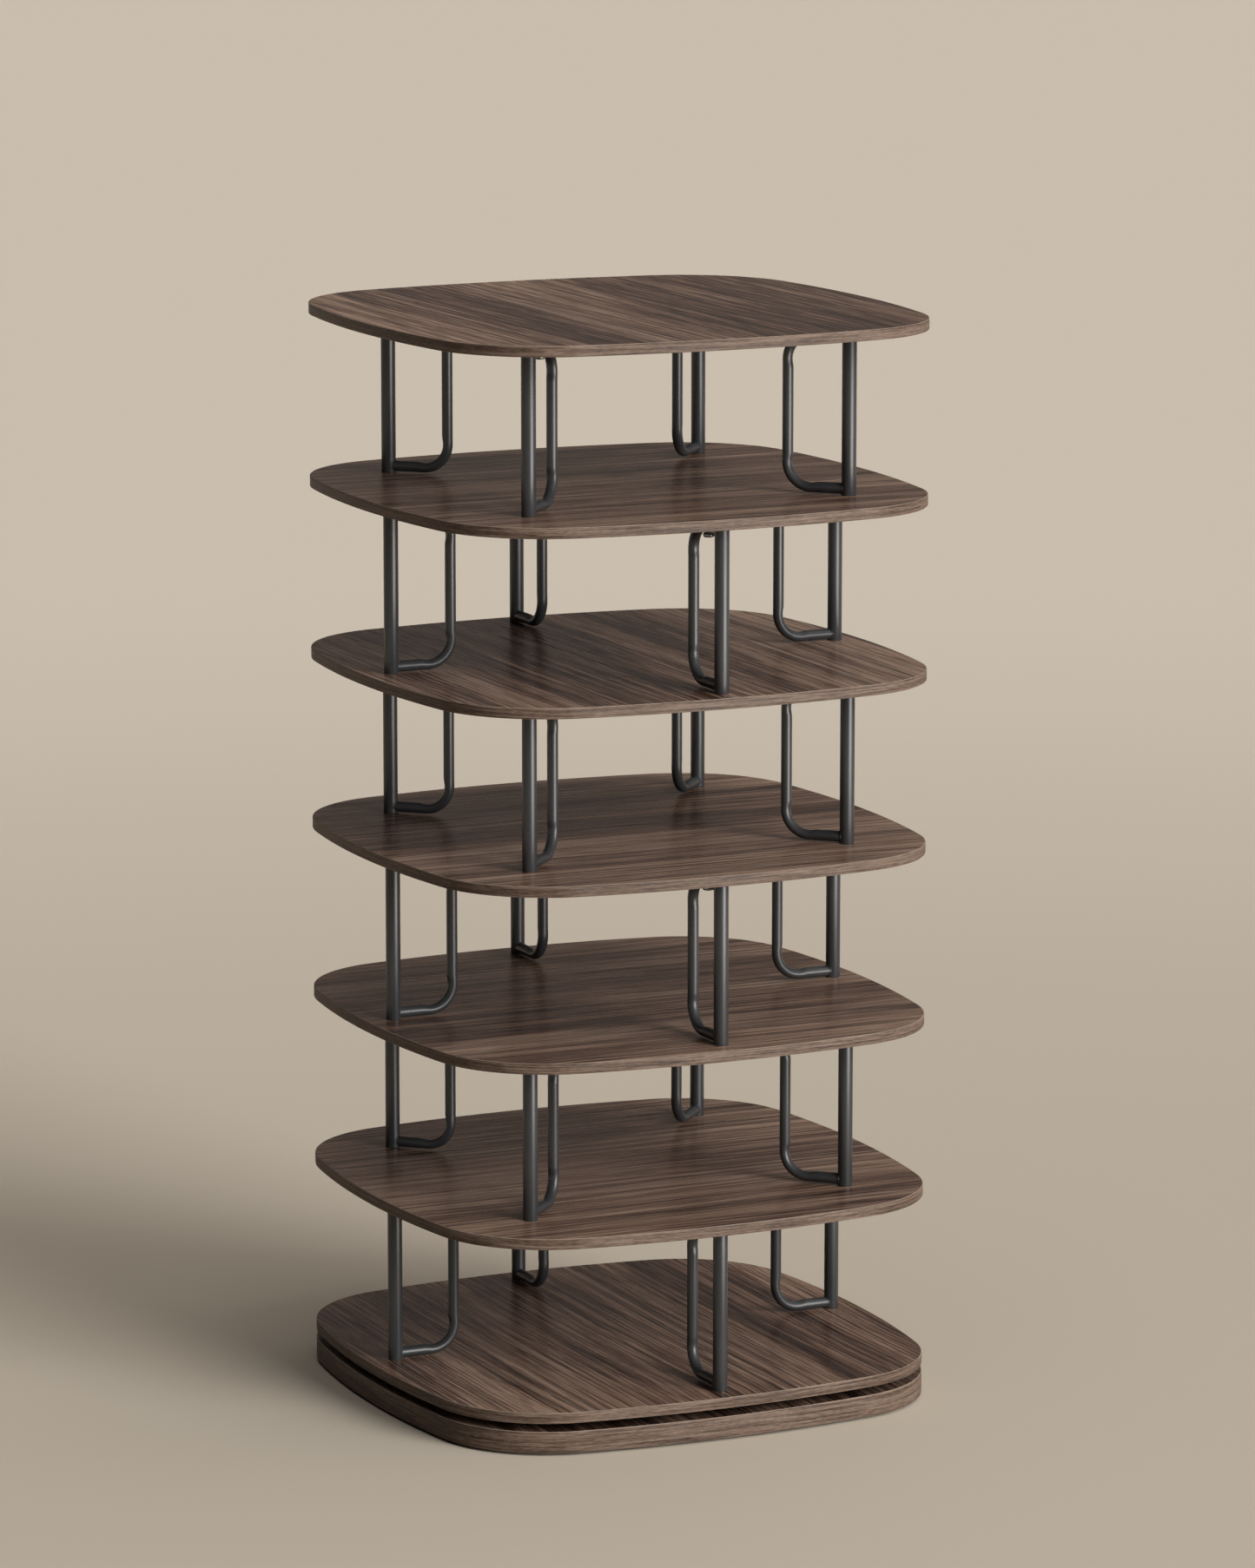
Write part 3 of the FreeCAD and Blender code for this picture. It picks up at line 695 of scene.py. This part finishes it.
@dataclass(frozen=True)
class Outline:
    """The boards' plan: four shallow side arcs and four corner arcs, all tangent."""

    width: float = 600 * MM
    diagonal: float = 704 * MM
    corner_radius: float = 135 * MM
    half_side_steps: int = 12
    corner_steps: int = 30

    @property
    def corner_centre(self) -> float:
        """How far the centre of a corner arc is from either axis."""
        return (self.diagonal / 2 - self.corner_radius) / math.sqrt(2)

    @property
    def side_radius(self) -> float:
        """The radius of a side arc."""
        inset = self.width / 2 - self.corner_centre
        reach = self.corner_centre ** 2 + inset ** 2 - self.corner_radius ** 2
        return reach / (2 * (inset - self.corner_radius))

    @property
    def side_centre(self) -> float:
        """How far the centre of a side arc is beyond the tower's axis."""
        return self.side_radius - self.width / 2

    def stretches(self) -> Iterator[Stretch]:
        """The arcs in order, clockwise from the middle of the back side to where they started.

        Yields:
            A half side, a corner and a half side for each quarter.
        """
        swing = math.atan2(self.corner_centre, self.corner_centre + self.side_centre)
        for quarter in range(QUARTERS):
            side = QUARTER_TURN * (1 - quarter)
            for direction, reach, angle, steps in (
                (side, -self.side_centre, swing, self.half_side_steps),
                (side - QUARTER_TURN / 2, self.corner_centre * math.sqrt(2),
                 QUARTER_TURN - 2 * swing, self.corner_steps),
                (side - QUARTER_TURN, -self.side_centre, swing, self.half_side_steps),
            ):
                yield Stretch(outwards(direction) * reach, angle, steps)

    def sweep(self) -> None:
        """Spin what is selected in edit mode all the way round the outline."""
        for stretch in self.stretches():
            bpy.ops.mesh.spin(steps=stretch.steps, angle=stretch.angle, center=stretch.centre, axis=UP)


@dataclass(frozen=True)
class Hole:
    """Four equal holes on a circle, or a single one, drilled from below or from the top."""

    radius: float
    diameter: float
    turn: float = 0.0
    depth: float | None = None
    sink: float = 0.0
    from_top: bool = False
    count: int = QUARTERS


@dataclass
class Board:
    """A laminated board with rounded corners, and the thin band glued round its edge."""

    node: str
    body: str
    grain: Grain
    holes: list[Hole] = field(default_factory=list)
    outline: Outline = Outline()
    band: float = 1 * MM
    arris: float = 0.8 * MM
    glue_line: float = 0.12 * MM
    butt_gap: float = 0.15 * MM
    weld_distance: float = 0.0075 * MM
    arris_segments: int = 4
    hole_sides: int = 32
    speck: float = 1 * MM
    spare: float = 1 * MM

    def __post_init__(self) -> None:
        """Read the board's height and thickness from the frame."""
        low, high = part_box(self.node)
        self.low = low.z
        self.thickness = high.z - low.z

    @property
    def label(self) -> str:
        """The board's name without the word for its material."""
        return self.node.removesuffix("_board")

    def build(self, laminate: bpy.types.Material, edging: bpy.types.Material) -> None:
        """Make and dress the panel and its edge band.

        Args:
            laminate: The finish of the panel's faces.
            edging: The finish of the band.
        """
        panel = self.panel()
        for hole in self.holes:
            self.drill(panel, hole)
        smooth(panel)
        dress(panel, laminate)
        install(panel, self.body, "board_laminate", self.node)
        strip = self.edge_band()
        dress(strip, edging)
        install(strip, self.body, "edge_band", f"{self.label}_edge_band")

    def panel(self) -> bpy.types.Object:
        """The board inside its band, its rim eased for the glue line.

        Returns:
            The panel.
        """
        back = self.outline.width / 2 - self.band
        bpy.ops.mesh.primitive_plane_add(size=self.speck, location=(0, back, self.low))
        panel = settle(f"{self.label}_panel")
        with editing(panel):
            select_all()
            bpy.ops.mesh.merge(type="CENTER")
            self.outline.sweep()
            select_all()
            bpy.ops.mesh.remove_doubles(threshold=self.glue_line / 2)
            bpy.ops.mesh.edge_face_add()
            extrude(UP * self.thickness)
            close_up()
            middle = self.low + self.thickness / 2
            for rule in (lambda place: place.z > middle, lambda place: place.z < middle):
                select_where(rule, "EDGE")
                bevel(self.glue_line, segments=1)
        return panel

    def edge_band(self) -> bpy.types.Object:
        """The band: a strip with rounded outer edges, wound round the board to a butt joint.

        Returns:
            The band.
        """
        outside = self.outline.width / 2
        middle = self.low + self.thickness / 2
        bpy.ops.mesh.primitive_plane_add(
            size=1, location=(self.butt_gap, outside - self.band / 2, middle), rotation=(0, QUARTER_TURN, 0)
        )
        bpy.context.object.scale = (self.thickness, self.band, 1)
        strip = settle(f"{self.label}_edging")
        with editing(strip):
            select_where(lambda place: place.y > outside - self.band / 2)
            bevel(self.arris, self.arris_segments, "VERTICES")
            select_all()
            self.outline.sweep()
            close_up(self.weld_distance)
        smooth(strip)
        return strip

    def drill(self, panel: bpy.types.Object, hole: Hole) -> None:
        """Cut a set of holes into the panel.

        Args:
            panel: The panel.
            hole: The holes' sizes and places.
        """
        depth = self.thickness + self.spare if hole.depth is None else hole.depth
        face, inwards = (self.low + self.thickness, -1) if hole.from_top else (self.low, 1)
        for index in range(hole.count):
            place = outwards(hole.turn + index * QUARTER_TURN) * hole.radius
            place.z = face + inwards * (depth - self.spare) / 2
            cutter = cylinder("drill", self.hole_sides, hole.diameter / 2, depth + self.spare, place)
            if hole.sink:
                self.countersink(cutter, hole)
            combine(panel, cutter, "DIFFERENCE")

    def countersink(self, cutter: bpy.types.Object, hole: Hole) -> None:
        """Widen a drill towards the board's underside, from which it stands out.

        Args:
            cutter: The drill.
            hole: The hole's sizes.
        """
        cone = (hole.sink - hole.diameter) / 2
        wide = (hole.sink + 2 * self.spare) / hole.diameter
        with editing(cutter):
            select_where(lambda place: place.z < self.low, "FACE")
            bpy.ops.transform.translate(value=(0, 0, cone + self.spare))
            extrude((0, 0, -cone - self.spare))
            bpy.ops.transform.resize(value=(wide, wide, 1))


# ---------------------------------------------------------------- side brackets


@dataclass(frozen=True)
class Place:
    """Where a bracket stands: a name and a direction from the tower's axis."""

    name: str
    angle: float


CORNERS = (
    Place("front_right", math.radians(-45)),
    Place("back_right", math.radians(45)),
    Place("back_left", math.radians(135)),
    Place("front_left", math.radians(225)),
)
SIDES = (
    Place("front", math.radians(-90)),
    Place("right", 0.0),
    Place("back", math.radians(90)),
    Place("left", math.radians(180)),
)


def places(tier: int) -> tuple[Place, ...]:
    """Where the brackets of a tier stand: at the corners in odd tiers, at the sides in even ones."""
    return CORNERS if tier % 2 else SIDES


def stations() -> Iterator[tuple[int, Place]]:
    """Every bracket's tier, counted from the top, and its place.

    Yields:
        A tier and a place.
    """
    for tier in range(1, SHELVES + 1):
        for place in places(tier):
            yield tier, place


@dataclass
class BracketMaker:
    """The welded side brackets: a straight tube and a bent rod, pressed flatter in its bends."""

    height: float = 180 * MM
    post_radius: float = 8 * MM
    bore_radius: float = 6.5 * MM
    post_circle: float = 268.5 * MM
    rod_radius: float = 6 * MM
    rod_offset: float = 70 * MM
    bend_outer_radius: float = 33 * MM
    bend_thickness: float = 10.8 * MM
    arm_clearance: float = 1.2 * MM
    neck: float = 10 * MM
    weld: float = 0.8 * MM
    bolt_offset: float = 33 * MM
    bolt_hole_radius: float = 3.2 * MM
    seat_radius: float = 6.4 * MM
    seat_depth: float = 1.2 * MM
    eased_edge: float = 0.35 * MM
    post_sides: int = 64
    rod_sides: int = 40
    bend_steps: int = 14
    neck_rings: int = 8
    bead_steps: int = 48
    bead_sides: int = 10
    cutter_sides: int = 48

    @property
    def bend_start(self) -> float:
        """How far from the bracket's middle the rod starts to bend."""
        return self.height / 2 - self.arm_clearance - self.bend_outer_radius

    @property
    def bend_centre(self) -> float:
        """How far the centres of the bends are from the post's axis."""
        return self.rod_offset + self.rod_radius - self.bend_outer_radius

    @property
    def arm_depth(self) -> float:
        """How far from the bracket's middle the axes of its arms are."""
        return self.height / 2 - self.arm_clearance - self.rod_radius

    def pattern_piece(self) -> bpy.types.Object:
        """Model one bracket round the origin, its rod towards +X.

        Returns:
            The bracket, to be copied.
        """
        bracket = self.post()
        combine(bracket, self.rod(), "UNION")
        for level in (-self.arm_depth, self.arm_depth):
            combine(bracket, self.weld_bead(level), "UNION")
        bolt = Vector((self.bolt_offset, 0, self.arm_depth))
        seat = bolt - UP * (2 * self.rod_radius - self.seat_depth)
        for radius, depth, place in (
            (self.bore_radius, self.height * 2, Vector()),
            (self.bolt_hole_radius, 4 * self.rod_radius, bolt),
            (self.seat_radius, 2 * self.rod_radius, seat),
        ):
            combine(bracket, cylinder("cutter", self.cutter_sides, radius, depth, place), "DIFFERENCE")
        smooth(bracket)
        return bracket

    def post(self) -> bpy.types.Object:
        """The upright, its ends eased.

        Returns:
            The post, still solid.
        """
        post = cylinder("bracket_pattern", self.post_sides, self.post_radius, self.height)
        end = self.height / 2 - self.eased_edge
        with editing(post):
            select_where(lambda place: abs(place.z) > end, "FACE")
            bevel(self.eased_edge, segments=3)
        return post

    def rod(self) -> bpy.types.Object:
        """The bent rod: straight, pressed through its bend, and round again in its arm.

        Returns:
            The rod, its ends on the post's axis.
        """
        outer = self.rod_offset + self.rod_radius
        flat = self.bend_thickness / (2 * self.rod_radius)
        bottom = -self.arm_depth - self.rod_radius
        bpy.ops.mesh.primitive_circle_add(
            vertices=self.rod_sides, radius=self.rod_radius, fill_type="NOTHING",
            location=(self.rod_offset, 0, 0)
        )
        rod = settle("rod")
        with editing(rod):
            select_all()
            self.run(Vector((0, 0, self.neck - self.bend_start)))
            for level, ratio in self.neck_steps(flat):
                self.run(Vector((0, 0, -level)))
                bpy.ops.transform.resize(value=(ratio, 1, 1), center_override=(outer, 0, 0))
            bpy.ops.mesh.spin(
                steps=self.bend_steps, angle=-QUARTER_TURN,
                center=(self.bend_centre, 0, -self.bend_start), axis=(0, 1, 0)
            )
            for level, ratio in self.neck_steps(1 / flat):
                self.run(Vector((-level, 0, 0)))
                bpy.ops.transform.resize(value=(1, 1, ratio), center_override=(0, 0, bottom))
            self.run(Vector((self.neck - self.bend_centre, 0, 0)))
            bpy.ops.mesh.edge_face_add()
        apply(rod, "MIRROR", use_axis=(False, False, True), merge_threshold=0.01 * MM)
        with editing(rod):
            close_up()
        return rod

    def run(self, step: Vector) -> None:
        """Extrude the selected ring of edges.

        Args:
            step: How far, and in which direction.
        """
        bpy.ops.mesh.extrude_edges_move(TRANSFORM_OT_translate={"value": step})

    def neck_steps(self, ratio: float) -> Iterator[tuple[float, float]]:
        """How a neck changes its thickness, eased at both ends.

        Args:
            ratio: The thickness after the neck over the one before it.

        Yields:
            The length of a step, and its thickness over that of the step before.
        """
        before = 1.0
        for ring in range(1, self.neck_rings + 1):
            share = ring / self.neck_rings
            eased = share * share * (3 - 2 * share)
            now = 1 + (ratio - 1) * eased
            yield self.neck / self.neck_rings, now / before
            before = now

    def weld_bead(self, level: float) -> bpy.types.Object:
        """A ring of weld round an arm's end, wrapped on the post.

        Args:
            level: The height of the arm's axis.

        Returns:
            The bead.
        """
        bpy.ops.mesh.primitive_torus_add(
            major_segments=self.bead_steps, minor_segments=self.bead_sides,
            major_radius=self.rod_radius, minor_radius=self.weld, rotation=(QUARTER_TURN, 0, 0)
        )
        bead = bpy.context.object
        wrapped = self.post_radius * math.asin(self.rod_radius / self.post_radius)
        bead.scale.x = wrapped / self.rod_radius
        settle("weld_bead")
        bend = bead.dimensions.x / self.post_radius
        apply(bead, "SIMPLE_DEFORM", deform_method="BEND", deform_axis="Z", angle=bend)
        bead.rotation_euler = (0, 0, QUARTER_TURN)
        bead.location = (self.post_radius, 0, level)
        return settle("weld_bead")

    def build(self, coat: bpy.types.Material) -> None:
        """Copy the bracket to every place and dress it.

        Args:
            coat: The powder coat.
        """
        pattern = self.pattern_piece()
        dress(pattern, coat)
        for tier, place in stations():
            node = f"bracket_{tier}_{place.name}"
            low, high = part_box(node)
            middle = outwards(place.angle) * self.post_circle + UP * (low.z + high.z) / 2
            copy = duplicate(pattern, f"{node}_tubework", place.angle + math.pi, middle)
            install(copy, "turntable", "bracket_steel", node)
        bpy.data.objects.remove(pattern)


# ---------------------------------------------------------------- fasteners


@dataclass
class ArmBolts:
    """The button-head bolts that hold the upper arms to the boards, each on a seat under the board."""

    circle: float = 235.5 * MM
    head_radius: float = 6.2 * MM
    head_height: float = 4 * MM
    rounding: float = 2.4 * MM
    socket_across: float = 4 * MM
    socket_depth: float = 2.2 * MM
    shank_radius: float = 2.9 * MM
    shank_length: float = 20 * MM
    seat_depth: float = 12 * MM
    sides: int = 48
    socket_sides: int = 6
    dome_segments: int = 6
    point_taper: float = 0.8
    eased_edge: float = 0.15 * MM
    sharp: float = math.radians(35)

    def pattern_piece(self) -> bpy.types.Object:
        """Model one bolt, the socket in its head at the origin and its point upwards.

        Returns:
            The bolt, to be copied.
        """
        middle = (0, 0, self.head_height / 2)
        point = self.rounding / 4
        top = self.head_height - point
        bolt = cylinder("bolt_pattern", self.sides, self.head_radius, self.head_height, middle)
        with editing(bolt):
            select_where(lambda place: place.z < top, "EDGE")
            bevel(self.rounding, self.dome_segments)
            select_where(lambda place: place.z > top, "FACE")
            bpy.ops.mesh.inset(thickness=self.head_radius - self.shank_radius)
            extrude(UP * (self.shank_length - point))
            extrude(UP * point)
            bpy.ops.transform.resize(value=(self.point_taper, self.point_taper, 1))
        across_corners = self.socket_across / math.cos(math.pi / self.socket_sides)
        key = cylinder("key", self.socket_sides, across_corners / 2, 2 * self.socket_depth)
        combine(bolt, key, "DIFFERENCE")
        apply(bolt, "BEVEL", width=self.eased_edge, segments=2, limit_method="ANGLE", angle_limit=self.sharp)
        smooth(bolt)
        return bolt

    def build(self, finish: bpy.types.Material) -> None:
        """Copy the bolt to every bracket and dress it.

        Args:
            finish: The bolts' finish.
        """
        pattern = self.pattern_piece()
        dress(pattern, finish)
        for tier, place in stations():
            shelf_low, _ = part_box(f"shelf_{tier}")
            under = shelf_low.z - self.seat_depth - self.head_height
            head = outwards(place.angle) * self.circle + UP * under
            copy = duplicate(pattern, f"arm_bolt_{tier}_{place.name}", place.angle, head)
            install(copy, "turntable", "bolt_steel", "arm_bolts")
        bpy.data.objects.remove(pattern)


@dataclass
class Mechanism:
    """The pieces that stay as the frame has them: bearing, screws, plugs, inserts and foot pads."""

    nodes: dict[str, bpy.types.Object]

    def build(self) -> None:
        """Dress every remaining node."""
        finishes = {
            "foot_pads": PAD_RUBBER,
            "bearing_outer_ring": ALUMINIUM,
            "bearing_inner_ring": ALUMINIUM,
            "bearing_base_screws": ZINC,
            "bearing_top_screws": ZINC,
            "ball_cage": CAGE_PLASTIC,
            "bearing_balls": BALL_STEEL,
            "arm_bolt_inserts": BRASS,
            "post_screws": ZINC,
            "post_plugs": PLAIN_STEEL,
        }
        made: dict[str, bpy.types.Material] = {}
        for node, finish in finishes.items():
            if finish.name not in made:
                made[finish.name] = finish.make()
            dress(self.nodes[node], made[finish.name])
            LOG.info("%s keeps its shape, in %s", node, finish.name)


# ---------------------------------------------------------------- studio


def hang(name: str, kind: str, towards: Vector, **values: object) -> bpy.types.Object:
    """Add a lamp that shines back along a direction.

    Args:
        name: The lamp's name.
        kind: Blender's name for the lamp's type.
        towards: The direction in which the lamp is, as the tower sees it.
        **values: The lamp's properties.

    Returns:
        The lamp.
    """
    data = bpy.data.lights.new(name, kind)
    for key, value in values.items():
        setattr(data, key, value)
    lamp = bpy.data.objects.new(name, data)
    bpy.context.scene.collection.objects.link(lamp)
    lamp.rotation_mode = "QUATERNION"
    lamp.rotation_quaternion = towards.to_track_quat("Z", "Y")
    return lamp


@dataclass(frozen=True)
class Lamp:
    """A soft lamp far away, by its direction: turned to the right of the front, and raised."""

    name: str
    strength: float
    spread: float
    azimuth: float
    elevation: float
    mirrored: bool = True
    colour: Colour = (1.0, 0.98, 0.955)

    def build(self) -> None:
        """Hang the lamp."""
        level = math.cos(self.elevation)
        towards = Vector((
            math.sin(self.azimuth) * level, -math.cos(self.azimuth) * level, math.sin(self.elevation)
        ))
        lamp = hang(self.name, "SUN", towards, energy=self.strength, angle=self.spread, color=self.colour)
        lamp.visible_glossy = self.mirrored


@dataclass(frozen=True)
class Softbox:
    """A soft lamp near the tower, to the right of the front, that shows in gloss alone."""

    name: str
    power: float
    width: float
    height: float
    distance: float
    azimuth: float
    colour: Colour = (1.0, 0.985, 0.965)

    def build(self) -> None:
        """Stand the lamp on the floor, facing the tower."""
        towards = Vector((math.sin(self.azimuth), -math.cos(self.azimuth), 0))
        lamp = hang(
            self.name, "AREA", towards, shape="RECTANGLE", size=self.width, size_y=self.height,
            energy=self.power, color=self.colour
        )
        lamp.location = towards * self.distance + UP * self.height / 2
        lamp.visible_camera = False
        lamp.visible_diffuse = False


@dataclass
class Studio:
    """A plain pale floor, soft lamps, a room with a brighter side, and the camera."""

    floor_size: float = 160.0
    floor_colour: Colour = (0.545, 0.487, 0.406)
    floor_patch: Colour = (0.573, 0.512, 0.426)
    # painted light: the floor's colour far from the tower, paler than near it
    floor_painted_light_far: Colour = (0.705, 0.638, 0.548)
    floor_bounce: Colour = (0.25, 0.21, 0.165)
    floor_clouds: Layer = Layer((0.35, 0.35, 1.0), 1.0, 0.4)
    near: float = 1.0
    far: float = 6.0
    backdrop: Colour = (0.505, 0.447, 0.365)
    backdrop_top: Colour = (0.160, 0.134, 0.120)
    backdrop_reach: tuple[float, float] = (-0.02, 0.11)
    bright_side: Colour = (0.30, 0.25, 0.205)
    dark_side: Colour = (0.018, 0.018, 0.018)
    bright_turn: float = math.radians(80)
    bright_reach: tuple[float, float] = (-0.4, 1.0)
    key: Lamp = Lamp(
        "key_softbox", 3.95, math.radians(34), math.radians(24), math.radians(19), mirrored=False
    )
    overhead: Lamp = Lamp("overhead_softbox", 1.05, math.radians(80), math.radians(40), math.radians(72))
    side: Softbox = Softbox("side_softbox", 54.0, 1.5, 1.2, 2.5, math.radians(23))
    sensor: float = 36.0
    lens: float = 164.53
    heading: float = 0.4345
    pitch: float = 0.1812
    camera_height: float = 2.0993
    camera_distance: float = 7.7855
    camera_shift: float = 0.01249

    def build(self) -> None:
        """Set up floor, world, lamps and camera."""
        self.floor()
        self.world()
        for lamp in (self.key, self.overhead, self.side):
            lamp.build()
        self.camera()

    def ahead(self, turn: float = 0.0) -> Vector:
        """The level direction in which the camera looks, or one turned clockwise from it."""
        heading = self.heading + turn
        return Vector((math.sin(heading), math.cos(heading), 0))

    def floor(self) -> None:
        """A wide matt floor, faintly clouded, with painted light that makes it paler far off, that throws
        little light back.
        """
        bpy.ops.mesh.primitive_plane_add(size=self.floor_size)
        floor = settle("studio_floor")
        recipe = Recipe("studio_floor_paint")
        clouds = recipe.noise(self.floor_clouds)
        distance = recipe.add("VectorMath", recipe.place, operation="LENGTH").outputs["Value"]
        # painted light: paler from the near radius out to the far one
        pale = recipe.blend(
            recipe.mask(distance, self.near, self.far),
            recipe.blend(clouds, self.floor_colour, self.floor_patch),
            self.floor_painted_light_far,
        )
        colour = recipe.blend(recipe.seen(), self.floor_bounce, pale)
        recipe.adjust(recipe.shader, Base_Color=colour, Roughness=1.0, Specular_IOR_Level=0.0)
        dress(floor, recipe.material)
        floor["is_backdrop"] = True

    def world(self) -> None:
        """A backdrop that darkens upwards, and for diffuse light a dim room with a brighter side."""
        world = bpy.data.worlds.new("studio_world")
        bpy.context.scene.world = world
        world.use_nodes = True
        graph = Graph(world.node_tree)
        sideways = self.ahead(self.bright_turn)
        room = self.gradient(graph, sideways, self.bright_reach, self.dark_side, self.bright_side)
        backdrop = self.gradient(graph, UP, self.backdrop_reach, self.backdrop, self.backdrop_top)
        choice = graph.add("MixShader", graph.seen(), room, backdrop)
        graph.add("OutputWorld", Surface=choice.outputs["Shader"])

    def gradient(self, graph: Graph, towards: Vector, reach: tuple[float, float],
                 first: Colour, second: Colour) -> Socket:
        """A surrounding light that changes from one colour to another along a direction.

        Args:
            graph: The world's nodes.
            towards: The direction along which it changes.
            reach: Where the change starts and ends, as shares of the way towards that direction.
            first: The colour before the change.
            second: The colour after it.

        Returns:
            The light's socket.
        """
        place = graph.add("TexCoord").outputs["Generated"]
        share = graph.add("VectorMath", place, towards, operation="DOT_PRODUCT").outputs["Value"]
        colour = graph.ramp(graph.mask(share, *reach), ((0.0, first), (1.0, second)))
        return graph.add("Background", colour).outputs["Background"]

    def camera(self) -> None:
        """A long lens from the front left, tilted a little down."""
        data = bpy.data.cameras.new("camera")
        data.lens = self.lens
        data.sensor_width = self.sensor
        data.clip_end = self.floor_size
        camera = bpy.data.objects.new("camera", data)
        bpy.context.scene.collection.objects.link(camera)
        forward = self.ahead()
        aside = forward.cross(UP) * self.camera_shift
        camera.location = aside - forward * self.camera_distance + UP * self.camera_height
        camera.rotation_euler = (QUARTER_TURN - self.pitch, 0, -self.heading)
        bpy.context.scene.camera = camera


# ---------------------------------------------------------------- the tower


def boards() -> Iterator[Board]:
    """The base, the turntable board and the shelves, with their holes.

    Yields:
        Each board, ready to build.
    """
    outer_ring_screws = Hole(radius=142 * MM, diameter=4.1 * MM, depth=10 * MM, from_top=True)
    inner_ring_screws = Hole(radius=120 * MM, diameter=4.1 * MM, depth=10 * MM)
    access = Hole(radius=120 * MM, diameter=16 * MM, count=1)
    inserts = Hole(radius=ArmBolts.circle, diameter=9 * MM, depth=9.5 * MM)
    post_screws = Hole(radius=BracketMaker.post_circle, diameter=6.4 * MM, sink=12.4 * MM)
    yield Board("base_board", "base", Grain.ALONG_Y, [outer_ring_screws, access])
    for number in range(1, SHELVES + 2):
        holes = []
        if number <= SHELVES:
            holes.append(replace(inserts, turn=places(number)[0].angle))
        if number > 1:
            holes.append(replace(post_screws, turn=places(number - 1)[0].angle))
        if number > SHELVES:
            holes.append(inner_ring_screws)
        node = f"shelf_{number}" if number <= SHELVES else "turntable_board"
        yield Board(node, "turntable", Grain.ALONG_Y if number in GRAIN_ALONG_Y else Grain.ALONG_X, holes)


def corners(bounds: tuple[Vector, Vector]) -> list[list[float]]:
    """A box as plain lists of numbers."""
    return [list(corner) for corner in bounds]


def main() -> None:
    """Build the looks round the frame."""
    logging.basicConfig(level=logging.INFO, format="%(message)s")
    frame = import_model()
    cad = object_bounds()
    bpy.context.scene.view_settings.view_transform = "Standard"
    Studio().build()
    laminates = {grain: WalnutLaminate(grain).make() for grain in Grain}
    # the base board gets a darkened copy of the laminate, as painted shade for its top under the turntable
    base_painted_shade_laminate = WalnutLaminate(Grain.ALONG_Y).shaded("base_painted_shade_laminate", BASE_PAINTED_SHADE).make()
    edging = WalnutEdging().make()
    for board in boards():
        board.build(laminates[board.grain] if board.body == "turntable" else base_painted_shade_laminate, edging)
    BracketMaker().build(PowderCoat().make())
    ArmBolts().build(BLACK_OXIDE.make())
    Mechanism(frame["nodes"]).build()
    {"cad": corners(cad), "visual": corners(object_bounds())}


if __name__ == "__main__":
    main()
